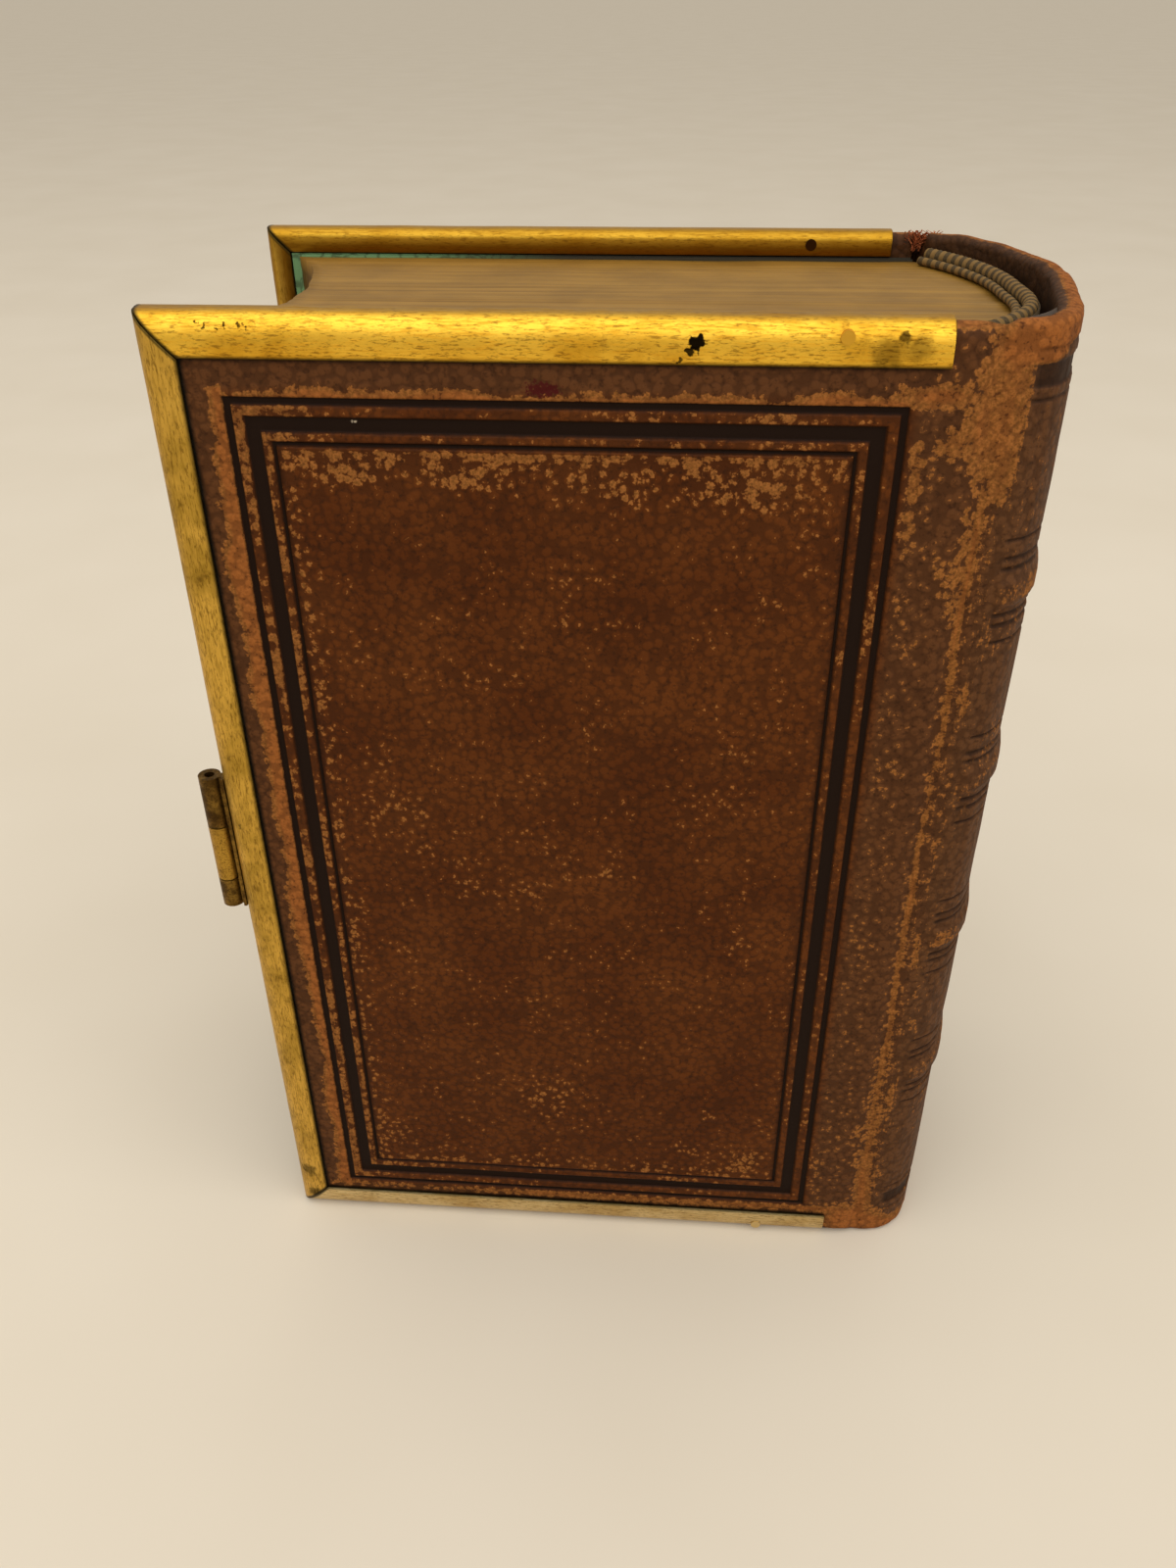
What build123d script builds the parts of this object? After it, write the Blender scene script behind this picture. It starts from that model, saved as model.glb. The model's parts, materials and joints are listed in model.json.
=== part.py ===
from build123d import *
import os
from math import cos, radians, sin

# Antique pocket book in full leather: two rigid covers with brass edge rims, a round hollow
# spine, and a hinged brass clasp that reaches across the fore-edge.
# Millimetres. +Z is up the standing book, +X runs from the fore-edge to the spine, and the back
# cover is on the -Y side. The origin is on the table plane, under the middle of the book's box.

# ---- driving dimensions -----------------------------------------------------------------
book_height = 130.0
cover_width = 80.6        # fore-edge face of the rim to the spine edge of the board
spine_reach = 93.9        # fore-edge face of the rim to the crown of the spine leather
leather_face = 24.8       # half the thickness over the leather of both covers
square = 3.2              # how far the covers stand out past the leaves at head and tail

# layers of a cover, counted inwards from the leather face
leather_thick = 0.7
board_thick = 2.8
turn_in_thick = 0.4       # the leather is pared thin where it turns in
turn_in_width = 9.0
pastedown_thick = 0.2
page_gap = 0.15           # air between the pastedown and the free endpaper
endpaper_thick = 0.25

# brass rims
rim_sheet = 0.45
rim_face = 4.3            # width of the rim on the outside of the cover
rim_flange = 2.9          # width of the rim on the inside of the cover
rim_crown = 0.7           # how far the rounded rim stands above the leather
rim_roll = 1.7            # radius where the rim rolls over from the outside of the cover to its edge
rim_inner_roll = 1.2      # radius where it rolls on from the edge to the inside
rim_length = 78.1         # head and tail strips stop short of the joint
mitre_gap = 0.12          # half of the open seam at the corners
pin_radius = 0.68
pin_clearance = 0.02
pin_from_end = 9.8
pin_from_edge = 1.6

# tooled frame on the leather, from the outside in: line, ridge, band, ridge, fine line
frame_fore = 8.0          # fore-edge face to the outer line
frame_spine = 74.9        # fore-edge face to the outer line on the spine side
frame_head = 8.0
frame_tail = 6.2
tooled_rings = [(0.0, 0.8), (1.9, 1.6), (4.4, 0.5)]   # (inset, width) of each sunk ring
tooling_depth = 0.3

# leather joint: each cover swings on a line at its leather face, just past the board
joint_line = 82.0
joint_slit = 0.3

# spine section: one flat crown arc and a shoulder arc on each side
crown_radius = 45.5
crown_angle = 16.5
shoulder_radius = 14.2
joint_angle = 75.0        # where the spine leather reaches the joint
stiff_angle = 62.0        # where the stiffener and the turned-in leather stop
tooling_angle = 66.0      # where the raised bands and tooled lines fade out
spine_leather_thick = 0.9
stiffener_thick = 0.9
spine_turn_in = 0.7
spine_turn_in_height = 9.0
spine_fold = 1.0
band_height = 0.5
band_width = 3.0
band_levels = [33.0, 56.2, 79.4, 102.6]
line_width = 0.5
line_depth = 0.25
line_offsets = [2.7, 3.7]
end_band_levels = [7.2, 124.8]   # flat tooled bands near the tail and the head
end_band_width = 2.4

# leaves
leaf_fore = 3.9           # fore-edge face to the corners of the leaves
leaf_hollow = 6.0         # depth of the hollow fore-edge
leaf_shoulder = 80.8
leaf_round = 8.0          # how far the sewn back is rounded out
cord_radius = 0.6
cord_levels = [24.0, 50.0, 80.0, 106.0]
kerf_clearance = 0.05
lining_thick = 0.4
lining_angle = 41.0
headband_radius = 1.1
headband_angle = 38.0
headband_tab = 8.0
headband_cloth = 0.3

# clasp
knuckle_radius = 1.35
knuckle_stand_off = 2.0   # fore-edge face to the hinge line
hinge_line_depth = 22.6   # mid-plane to the hinge line
hinge_bottom = 56.8
hinge_top = 76.0
arm_bottom = 61.0
arm_top = 68.8
knuckle_gap = 0.15
leaf_plate = 0.4
leaf_plate_width = 2.2
clasp_pin_radius = 0.6
clasp_pin_clearance = 0.05
arm_thick = 0.8
arm_inner = 0.7           # fore-edge face to the inside of the closed arm
arm_end = 24.9            # mid-plane to the tip of the closed arm
arm_wide = 10.0
thumb_roll = 0.6
stud_radius = 1.2
stud_depth = 22.2         # mid-plane to the stud
stud_height = 2.1
stud_hole = 1.75
ajar = 3.0                # the clasp rests swung to, but not snapped over its stud

# ---- derived places ---------------------------------------------------------------------
board_face = leather_face - leather_thick
board_back = board_face - board_thick
pastedown_back = board_back - pastedown_thick
endpaper_face = pastedown_back - page_gap
leaves_face = endpaper_face - endpaper_thick
leather_edge = rim_sheet
board_edge = rim_sheet + leather_thick
outer_rounding = rim_roll - rim_sheet          # of the leather-covered edge, under the rim
inner_rounding = rim_inner_roll - rim_sheet
roll_swing = (arm_end + hinge_line_depth - thumb_roll) * sin(radians(ajar))
roll_inset = (knuckle_stand_off - arm_inner - arm_thick) * cos(radians(ajar))
clasp_reach = knuckle_stand_off + roll_swing - roll_inset + thumb_roll
spine_crown = spine_reach + band_height
fore = (clasp_reach - spine_crown) / 2      # X of the fore-edge face of both rims
hinge_x = fore - knuckle_stand_off
joint_x = fore + joint_line
rim_end = fore + rim_length
leaves_bottom = square
leaves_top = book_height - square
leaves_height = leaves_top - leaves_bottom
crown_centre = fore + spine_reach - crown_radius
shoulder_centre = (
    crown_centre + (crown_radius - shoulder_radius) * cos(radians(crown_angle)),
    (crown_radius - shoulder_radius) * sin(radians(crown_angle)),
)
back_radius = (leaves_face**2 + leaf_round**2) / (2 * leaf_round)
back_centre = fore + leaf_shoulder + leaf_round - back_radius

os.makedirs("parts", exist_ok=True)


def save(builder, name):
    """Name a finished piece and write it as its own file."""
    builder.part.label = name
    export_step(builder.part, f"parts/{name}.step")


def spine_wall(outer, inner, end_angle):
    """Outline of a curved wall between two depths below the spine leather's surface."""
    centre_x, centre_y = shoulder_centre

    def on_crown(depth, angle):
        reach = crown_radius - depth
        return (crown_centre + reach * cos(radians(angle)), reach * sin(radians(angle)))

    def on_shoulder(depth, angle, side):
        reach = shoulder_radius - depth
        return (centre_x + reach * cos(radians(angle)), side * (centre_y + reach * sin(radians(angle))))

    middle = (crown_angle + end_angle) / 2
    with BuildLine(mode=Mode.PRIVATE) as outline:
        for depth in (outer, inner):
            ThreePointArc(on_crown(depth, -crown_angle), on_crown(depth, 0), on_crown(depth, crown_angle))
            for side in (-1, 1):
                ThreePointArc(
                    on_shoulder(depth, crown_angle, side),
                    on_shoulder(depth, middle, side),
                    on_shoulder(depth, end_angle, side),
                )
        for side in (-1, 1):
            Line(on_shoulder(outer, end_angle, side), on_shoulder(inner, end_angle, side))
    return outline.line


def back_wall(inner_radius, outer_radius, half_angle):
    """Outline of a wall that follows the rounded back of the leaves."""

    def on_back(radius, angle):
        return (back_centre + radius * cos(radians(angle)), radius * sin(radians(angle)))

    with BuildLine(mode=Mode.PRIVATE) as outline:
        for radius in (inner_radius, outer_radius):
            ThreePointArc(on_back(radius, -half_angle), on_back(radius, 0), on_back(radius, half_angle))
        for side in (-1, 1):
            Line(on_back(inner_radius, side * half_angle), on_back(outer_radius, side * half_angle))
    return outline.line


def back_cord(radius, level, half_angle, thickness):
    """A round cord bent along the back of the leaves."""
    with BuildPart(mode=Mode.PRIVATE) as cord:
        with BuildLine() as path:
            CenterArc((back_centre, 0, level), radius, -half_angle, 2 * half_angle)
        with BuildSketch(Plane(origin=path.line @ 0, z_dir=path.line % 0)):
            Circle(thickness)
        sweep()
    return cord.part


def rim_section():
    """Section of a brass rim: across the cover's edge inwards, and out from the mid-plane."""
    flange_face = board_back - rim_sheet
    crest = leather_face + rim_crown
    roll_top = crest - 0.15
    roll_level = roll_top - rim_roll
    with BuildLine(mode=Mode.PRIVATE) as outline:
        Polyline(
            (rim_inner_roll, board_back),
            (rim_flange, board_back),
            (rim_flange, flange_face),
            (rim_inner_roll, flange_face),
        )
        RadiusArc((rim_inner_roll, flange_face), (0, flange_face + rim_inner_roll), rim_inner_roll)
        Line((0, flange_face + rim_inner_roll), (0, roll_level))
        RadiusArc((0, roll_level), (rim_roll, roll_top), rim_roll)
        ThreePointArc((rim_roll, roll_top), (2.9, crest), (rim_face, leather_face + rim_sheet))
        Polyline((rim_face, leather_face + rim_sheet), (rim_face, leather_face), (rim_roll, leather_face))
        RadiusArc((rim_roll, leather_face), (rim_sheet, leather_face - outer_rounding), -outer_rounding)
        Line((rim_sheet, leather_face - outer_rounding), (rim_sheet, board_back + inner_rounding))
        RadiusArc((rim_sheet, board_back + inner_rounding), (rim_inner_roll, board_back), -inner_rounding)
    return outline.line


def flat_rectangle(x_from, x_to, z_from, z_to):
    """A rectangle on a plane parallel to the covers."""
    with Locations(((x_from + x_to) / 2, (z_from + z_to) / 2)):
        Rectangle(x_to - x_from, z_to - z_from)


# ---- the leaves and what holds them -----------------------------------------------------
with BuildPart() as text_block:
    with BuildSketch(Plane.XY.offset(leaves_bottom)):
        with BuildLine():
            ThreePointArc(
                (fore + leaf_fore, -leaves_face),
                (fore + leaf_fore + leaf_hollow, 0),
                (fore + leaf_fore, leaves_face),
            )
            Line((fore + leaf_fore, leaves_face), (fore + leaf_shoulder, leaves_face))
            ThreePointArc(
                (fore + leaf_shoulder, leaves_face),
                (back_centre + back_radius, 0),
                (fore + leaf_shoulder, -leaves_face),
            )
            Line((fore + leaf_shoulder, -leaves_face), (fore + leaf_fore, -leaves_face))
        make_face()
    extrude(amount=leaves_height)
    # saw kerfs across the back, one for each sewing cord
    kerf_depth = 2 * cord_radius + kerf_clearance
    for level in cord_levels:
        with BuildSketch(Plane.XY.offset(level - cord_radius - kerf_clearance)):
            make_face(back_wall(back_radius - kerf_depth, back_radius + 1, 60).edges())
        extrude(amount=2 * (cord_radius + kerf_clearance), mode=Mode.SUBTRACT)
save(text_block, "text_block")

with BuildPart() as sewing_cords:
    for level in cord_levels:
        add(back_cord(back_radius - cord_radius, level, lining_angle - 1, cord_radius))
save(sewing_cords, "sewing_cords")

with BuildPart() as spine_lining:
    with BuildSketch(Plane.XY.offset(leaves_bottom)):
        make_face(back_wall(back_radius, back_radius + lining_thick, lining_angle).edges())
    extrude(amount=leaves_height)
save(spine_lining, "spine_lining")

# head and tail bands: a corded bead on the edge of the leaves, and a cloth tab down the back
tab_inner = back_radius + lining_thick
tab_outer = tab_inner + headband_cloth
bead_radius = tab_outer - headband_radius
with BuildPart() as head_band:
    add(back_cord(bead_radius, leaves_top + headband_radius, headband_angle, headband_radius))
    with BuildSketch(Plane.XY.offset(leaves_top - headband_tab)):
        make_face(back_wall(tab_inner, tab_outer, headband_angle).edges())
    extrude(amount=headband_tab + headband_radius)
save(head_band, "head_band")

with BuildPart() as tail_band:
    mirror(head_band.part, about=Plane.XY.offset(book_height / 2))
save(tail_band, "tail_band")

for side, side_name in ((-1, "back"), (1, "front")):
    sheet_plane = Plane(origin=(0, side * leaves_face, 0), x_dir=(1, 0, 0), z_dir=(0, -1, 0))
    with BuildPart() as free_endpaper:
        with BuildSketch(sheet_plane):
            flat_rectangle(fore + leaf_fore, fore + leaf_shoulder, leaves_bottom, leaves_top)
        extrude(amount=-side * endpaper_thick)
    save(free_endpaper, f"{side_name}_free_endpaper")

# ---- the spine --------------------------------------------------------------------------
stiffener_back = spine_leather_thick + stiffener_thick
turn_in_back = stiffener_back + spine_turn_in
with BuildPart() as spine_stiffener:
    with BuildSketch(Plane.XY.offset(spine_fold)):
        make_face(spine_wall(spine_leather_thick, stiffener_back, stiff_angle).edges())
    extrude(amount=book_height - 2 * spine_fold)
save(spine_stiffener, "spine_stiffener")

with BuildPart() as spine_leather:
    with BuildSketch(Plane.XY):
        make_face(spine_wall(0, spine_leather_thick, joint_angle).edges())
    extrude(amount=book_height)
    # head and tail caps: the leather folds over the stiffener and turns down inside it
    for end, inward in ((0, 1), (book_height, -1)):
        with BuildSketch(Plane.XY.offset(end)):
            make_face(spine_wall(0.2, turn_in_back, stiff_angle).edges())
        extrude(amount=inward * spine_fold)
        with BuildSketch(Plane.XY.offset(end)):
            make_face(spine_wall(stiffener_back, turn_in_back, stiff_angle).edges())
        extrude(amount=inward * spine_turn_in_height)
    # raised bands with a pair of tooled lines above and below each
    for level in band_levels:
        with BuildSketch(Plane.XY.offset(level - band_width / 2)):
            make_face(spine_wall(-band_height, 0.2, tooling_angle).edges())
        extrude(amount=band_width)
    tooled_levels = [level + side * reach for level in band_levels for side in (-1, 1) for reach in line_offsets]
    for level in tooled_levels:
        with BuildSketch(Plane.XY.offset(level - line_width / 2)):
            make_face(spine_wall(-0.1, line_depth, tooling_angle).edges())
        extrude(amount=line_width, mode=Mode.SUBTRACT)
    for level in end_band_levels:
        with BuildSketch(Plane.XY.offset(level - end_band_width / 2)):
            make_face(spine_wall(-0.1, line_depth, tooling_angle).edges())
        extrude(amount=end_band_width, mode=Mode.SUBTRACT)
save(spine_leather, "spine_leather")

# ---- the back cover ---------------------------------------------------------------------
board_top = book_height - board_edge
turn_in_face = board_back + turn_in_thick
pin_places = [
    (rim_end - pin_from_end, pin_from_edge),
    (rim_end - pin_from_end, book_height - pin_from_edge),
]

with BuildPart() as back_board:
    with BuildSketch(Plane.XZ.offset(turn_in_face)):
        flat_rectangle(fore + board_edge, fore + cover_width, board_edge, board_top)
    extrude(amount=board_face - turn_in_face)
    outer_edges = edges().group_by(Axis.Y)[0].sort_by(Axis.X)
    fillet(outer_edges[:-1], rim_roll - board_edge)
    # the pared turn-ins are pressed into the inside of the board
    with BuildSketch(Plane.XZ.offset(board_back)):
        flat_rectangle(
            fore + turn_in_width,
            fore + cover_width,
            turn_in_width,
            book_height - turn_in_width,
        )
    extrude(amount=turn_in_thick)
    with BuildSketch(Plane.XZ):
        with Locations(*pin_places):
            Circle(pin_radius + pin_clearance)
    extrude(amount=leather_face * 2, mode=Mode.SUBTRACT)
save(back_board, "back_board")

with BuildPart() as back_cover_leather:
    with BuildSketch(Plane.XZ.offset(board_back)):
        flat_rectangle(
            fore + leather_edge,
            joint_x - joint_slit,
            leather_edge,
            book_height - leather_edge,
        )
    extrude(amount=leather_face - board_back)
    outer_edges = edges().group_by(Axis.Y)[0].sort_by(Axis.X)
    fillet(outer_edges[:-1], outer_rounding)
    inner_edges = edges().group_by(Axis.Y)[-1].sort_by(Axis.X)
    fillet(inner_edges[:-1], inner_rounding)
    # room for the board, and for the turn-ins that lie against its inside
    with BuildSketch(Plane.XZ.offset(turn_in_face)):
        flat_rectangle(fore + board_edge, joint_x, board_edge, board_top)
    extrude(amount=board_face - turn_in_face, mode=Mode.SUBTRACT)
    with BuildSketch(Plane.XZ.offset(board_back)):
        flat_rectangle(
            fore + turn_in_width,
            joint_x,
            turn_in_width,
            book_height - turn_in_width,
        )
    extrude(amount=turn_in_thick, mode=Mode.SUBTRACT)
    # the tooled frame
    for inset, width in tooled_rings:
        outer_box = (
            fore + frame_fore + inset,
            fore + frame_spine - inset,
            frame_tail + inset,
            book_height - frame_head - inset,
        )
        with BuildSketch(Plane.XZ.offset(leather_face - tooling_depth)):
            flat_rectangle(*outer_box)
            with Locations(((outer_box[0] + outer_box[1]) / 2, (outer_box[2] + outer_box[3]) / 2)):
                Rectangle(
                    outer_box[1] - outer_box[0] - 2 * width,
                    outer_box[3] - outer_box[2] - 2 * width,
                    mode=Mode.SUBTRACT,
                )
        extrude(amount=tooling_depth, mode=Mode.SUBTRACT)
    with BuildSketch(Plane.XZ):
        with Locations(*pin_places):
            Circle(pin_radius + pin_clearance)
    extrude(amount=leather_face * 2, mode=Mode.SUBTRACT)
save(back_cover_leather, "back_cover_leather")

with BuildPart() as back_pastedown:
    with BuildSketch(Plane.XZ.offset(pastedown_back)):
        flat_rectangle(
            fore + rim_flange + page_gap,
            fore + cover_width,
            rim_flange + page_gap,
            book_height - rim_flange - page_gap,
        )
    extrude(amount=pastedown_thick)
save(back_pastedown, "back_pastedown")

# ---- the brass rims of the back cover, three strips mitred at the corners -----------------
head_corner = (fore, 0, book_height)
tail_corner = (fore, 0, 0)


def mitre(corner, towards, keep):
    """Cut the strip in hand on a corner's diagonal, short of it by half the open seam."""
    diagonal = Plane(origin=corner, x_dir=(0, 1, 0), z_dir=towards)
    seam = mitre_gap if keep == Keep.TOP else -mitre_gap
    split(bisect_by=diagonal.offset(seam), keep=keep)


with BuildPart() as back_rim_head:
    with BuildSketch(Plane(origin=(rim_end, 0, book_height), x_dir=(0, 0, -1), z_dir=(-1, 0, 0))):
        make_face(rim_section().edges())
    extrude(amount=rim_length)
    mitre(head_corner, (1, 0, 1), Keep.TOP)
    with BuildSketch(Plane.XZ):
        with Locations(pin_places[1]):
            Circle(pin_radius + pin_clearance)
    extrude(amount=leather_face * 2, mode=Mode.SUBTRACT)
save(back_rim_head, "back_rim_head")

with BuildPart() as back_rim_tail:
    mirror(back_rim_head.part, about=Plane.XY.offset(book_height / 2))
save(back_rim_tail, "back_rim_tail")

with BuildPart() as back_rim_fore_edge:
    with BuildSketch(Plane(origin=head_corner, x_dir=(1, 0, 0), z_dir=(0, 0, -1))):
        make_face(rim_section().edges())
    extrude(amount=book_height)
    mitre(head_corner, (1, 0, 1), Keep.BOTTOM)
    mitre(tail_corner, (1, 0, -1), Keep.BOTTOM)
save(back_rim_fore_edge, "back_rim_fore_edge")

with BuildPart() as back_rim_pins:
    with BuildSketch(Plane.XZ.offset(board_back - rim_sheet - 0.1)):
        with Locations(*pin_places):
            Circle(pin_radius)
    extrude(amount=leather_face + rim_sheet - board_back + rim_sheet + 0.1)
save(back_rim_pins, "back_rim_pins")

# ---- the front cover mirrors the back one, and carries the clasp's stud ---------------------
stud_level = (arm_bottom + arm_top) / 2
stud_root = 3.0
stud_plane = Plane(origin=(fore + stud_root, stud_depth, stud_level), z_dir=(-1, 0, 0))

with BuildPart() as clasp_stud:
    with BuildSketch(stud_plane):
        Circle(stud_radius)
    extrude(amount=stud_root + stud_height)
    fillet(edges().group_by(Axis.X)[0], 0.5)
    with BuildSketch(stud_plane.offset(stud_root)):
        Circle(stud_radius + 0.35)
    extrude(amount=0.35)
save(clasp_stud, "clasp_stud")

for back_piece, name in (
    (back_board, "front_board"),
    (back_cover_leather, "front_cover_leather"),
    (back_rim_fore_edge, "front_rim_fore_edge"),
):
    with BuildPart() as drilled:
        mirror(back_piece.part, about=Plane.XZ)
        with BuildSketch(stud_plane):
            Circle(stud_radius + pin_clearance)
        extrude(amount=stud_root + stud_height, mode=Mode.SUBTRACT)
    save(drilled, name)

for back_piece, name in (
    (back_pastedown, "front_pastedown"),
    (back_rim_head, "front_rim_head"),
    (back_rim_tail, "front_rim_tail"),
    (back_rim_pins, "front_rim_pins"),
):
    with BuildPart() as mirrored:
        mirror(back_piece.part, about=Plane.XZ)
    save(mirrored, name)

# ---- the clasp: knuckles on the back rim, a pin, and the arm ----------------------------------
hinge_line = (hinge_x, -hinge_line_depth)
with BuildPart() as clasp_hinge_leaf:
    with BuildSketch(Plane.XY.offset(hinge_bottom)):
        with Locations((fore - leaf_plate / 2, -hinge_line_depth)):
            Rectangle(leaf_plate, leaf_plate_width)
        with Locations(hinge_line):
            Circle(knuckle_radius)
        with Locations((fore - knuckle_stand_off / 2, -hinge_line_depth)):
            Rectangle(knuckle_stand_off, 1.0)
    extrude(amount=hinge_top - hinge_bottom)
    with BuildSketch(Plane.XY.offset(hinge_bottom)):
        with Locations(hinge_line):
            Circle(clasp_pin_radius)
    extrude(amount=hinge_top - hinge_bottom, mode=Mode.SUBTRACT)
    # the arm's own knuckle turns in the gap
    with BuildSketch(Plane.XY.offset(arm_bottom - knuckle_gap)):
        with Locations((fore - leaf_plate - 2 * knuckle_radius, -hinge_line_depth)):
            Rectangle(4 * knuckle_radius, 6 * knuckle_radius)
    extrude(amount=arm_top - arm_bottom + 2 * knuckle_gap, mode=Mode.SUBTRACT)
save(clasp_hinge_leaf, "clasp_hinge_leaf")

with BuildPart() as clasp_hinge_pin:
    with BuildSketch(Plane.XY.offset(hinge_bottom)):
        with Locations(hinge_line):
            Circle(clasp_pin_radius)
    extrude(amount=hinge_top - hinge_bottom - 0.8)
save(clasp_hinge_pin, "clasp_hinge_pin")

with BuildPart() as clasp_arm:
    with BuildSketch(Plane.XY.offset(arm_bottom)):
        with Locations(hinge_line):
            Circle(knuckle_radius)
    extrude(amount=arm_top - arm_bottom)
    # the strap, seen along X: narrow at the knuckle, wider over the fore-edge, round at the tip
    strap_plane = Plane(origin=(fore - arm_inner, 0, stud_level), x_dir=(0, -1, 0), z_dir=(-1, 0, 0))
    narrow = (arm_top - arm_bottom) / 2
    with BuildSketch(strap_plane):
        with BuildLine():
            Polyline(
                (hinge_line_depth, -narrow),
                (hinge_line_depth - 4, -narrow),
                (hinge_line_depth - 9, -arm_wide / 2),
                (-arm_end, -arm_wide / 2),
                (-arm_end, arm_wide / 2),
                (hinge_line_depth - 9, arm_wide / 2),
                (hinge_line_depth - 4, narrow),
                (hinge_line_depth, narrow),
                close=True,
            )
        make_face()
        fillet(vertices().group_by(Axis.X)[0], 2.4)
        fillet(vertices().filter_by_position(Axis.X, 10, hinge_line_depth - 3), 3.0)
        with Locations((-stud_depth, 0)):
            Circle(stud_hole, mode=Mode.SUBTRACT)
    extrude(amount=arm_thick)
    # the tip is rolled outwards for a thumbnail
    with BuildSketch(Plane.XY.offset(stud_level - 2.6)):
        with Locations((fore - arm_inner - arm_thick, arm_end - thumb_roll)):
            Circle(thumb_roll)
    extrude(amount=5.2)
    with BuildSketch(Plane.XY.offset(arm_bottom)):
        with Locations(hinge_line):
            Circle(clasp_pin_radius + clasp_pin_clearance)
    extrude(amount=arm_top - arm_bottom, mode=Mode.SUBTRACT)

with BuildPart() as rested_arm:
    add(clasp_arm.part.rotate(Axis((hinge_x, -hinge_line_depth, 0), (0, 0, 1)), ajar))
save(rested_arm, "clasp_arm")
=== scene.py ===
# %% [markdown]
# # An antique leather book with brass rims
# A small old book in full brown leather. Each cover is a board wrapped in leather, with brass
# rims pressed round three of its edges, and a hinged clasp on the back cover. The CAD part gives
# every size and the hinges. Here each piece gets its real surface: worn leather, rubbed gilt
# brass, gilded leaves. The first cell loads the part and keeps its pieces and joints for later.

# %% Load the part
import json

import bmesh
import bpy
import numpy as np
from mathutils import Matrix, Vector


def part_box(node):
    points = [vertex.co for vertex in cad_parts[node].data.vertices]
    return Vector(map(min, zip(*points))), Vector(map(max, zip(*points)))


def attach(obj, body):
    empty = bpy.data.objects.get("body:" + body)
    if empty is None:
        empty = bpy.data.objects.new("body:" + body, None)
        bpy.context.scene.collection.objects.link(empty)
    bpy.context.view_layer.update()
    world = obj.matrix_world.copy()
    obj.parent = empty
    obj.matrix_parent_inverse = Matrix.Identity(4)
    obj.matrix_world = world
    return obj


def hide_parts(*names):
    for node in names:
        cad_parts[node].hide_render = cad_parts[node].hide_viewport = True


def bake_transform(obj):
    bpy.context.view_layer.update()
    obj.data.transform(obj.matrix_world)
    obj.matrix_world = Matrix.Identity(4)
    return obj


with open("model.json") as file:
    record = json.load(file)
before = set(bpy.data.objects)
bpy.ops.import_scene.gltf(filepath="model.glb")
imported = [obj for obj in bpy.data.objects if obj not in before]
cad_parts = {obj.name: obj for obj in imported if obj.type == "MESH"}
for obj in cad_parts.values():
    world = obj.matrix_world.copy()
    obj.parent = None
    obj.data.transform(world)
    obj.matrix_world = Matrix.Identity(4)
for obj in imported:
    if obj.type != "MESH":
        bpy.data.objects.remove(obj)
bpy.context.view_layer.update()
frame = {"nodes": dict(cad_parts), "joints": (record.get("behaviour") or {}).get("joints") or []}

# %% [markdown]
# ## Measuring from the part
# All modelling below is in millimetres, counted from the fore-edge face of the rims (x), from the
# middle of the book's thickness (y) and from the table (z), because that is how a binder
# measures a book. The places come from the boxes of the CAD pieces, so the looks follow the part.

# %% Main places
mm = 0.001
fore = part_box("back_rim_fore_edge")[0].x / mm


def place(piece):
    """Lowest and highest corner of a CAD piece in millimetres, x counted from the fore-edge."""
    low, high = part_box(piece)
    shift = np.array([fore, 0, 0])
    return np.array(low) / mm - shift, np.array(high) / mm - shift


rim_low, rim_high = place("back_rim_head")
height = rim_high[2]
crest = -rim_low[1]
flange = -rim_high[1]
rim_width = rim_high[2] - rim_low[2]
rim_stop = rim_high[0]
hinges = {joint["name"]: np.array(joint["pos_m"]) / mm for joint in frame["joints"]}
leather_face = hinges["front_cover_hinge"][1]

# %% [markdown]
# ## Small tools
# A material is a graph of nodes. One function adds any node: values fill its sockets in order,
# keywords with a capital name a socket, and the other keywords are the node's own settings. A
# value may be a number, a colour or another node's output. Colours are written as the hex
# values a painter would mix on screen, so one function turns them into linear light.

# %% Colours and nodes
def linear(code):
    """A hex colour as linear red, green, blue and alpha."""
    parts = [int(code[i : i + 2], 16) / 255 for i in (1, 3, 5)]
    return tuple(p / 12.92 if p <= 0.04045 else ((p + 0.055) / 1.055) ** 2.4 for p in parts) + (1.0,)


def add(tree, kind, *values, out=None, **named):
    """Add a node and return its output: the one named by out, or else the first in use."""
    node = tree.nodes.new("ShaderNode" + kind)
    sockets = {name.replace("_", " "): value for name, value in named.items() if not name.islower()}
    for name in filter(str.islower, named):
        setattr(node, name, named[name])
    filled = list(zip([socket for socket in node.inputs if socket.enabled], values))
    filled += [(node.inputs[name], value) for name, value in sockets.items()]
    for socket, value in filled:
        if isinstance(value, bpy.types.NodeSocket):
            tree.links.new(value, socket)
        else:
            socket.default_value = linear(value) if isinstance(value, str) else value
    return node.outputs[out] if out else next((s for s in node.outputs if s.enabled), None)


def new_material(name):
    """An empty material and its graph."""
    material = bpy.data.materials.new(name)
    material.use_nodes = True
    material.node_tree.nodes.clear()
    return material, material.node_tree


def set_surface(tree, **sockets):
    """Close a material with one Principled surface; the keywords are its sockets."""
    add(tree, "OutputMaterial", add(tree, "BsdfPrincipled", **sockets))


print("white in linear light:", linear("#ffffff"))

# %% [markdown]
# Patterns are steered with a little arithmetic. `millimetres` gives the rest position of the
# surface in millimetres, so a pattern's scale is simply one over its real size, and `pushed`
# shifts that position about with noise, which makes straight patterns ragged. `total` is a
# weighted sum, and `paint` lays colours over each other through masks.

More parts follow.
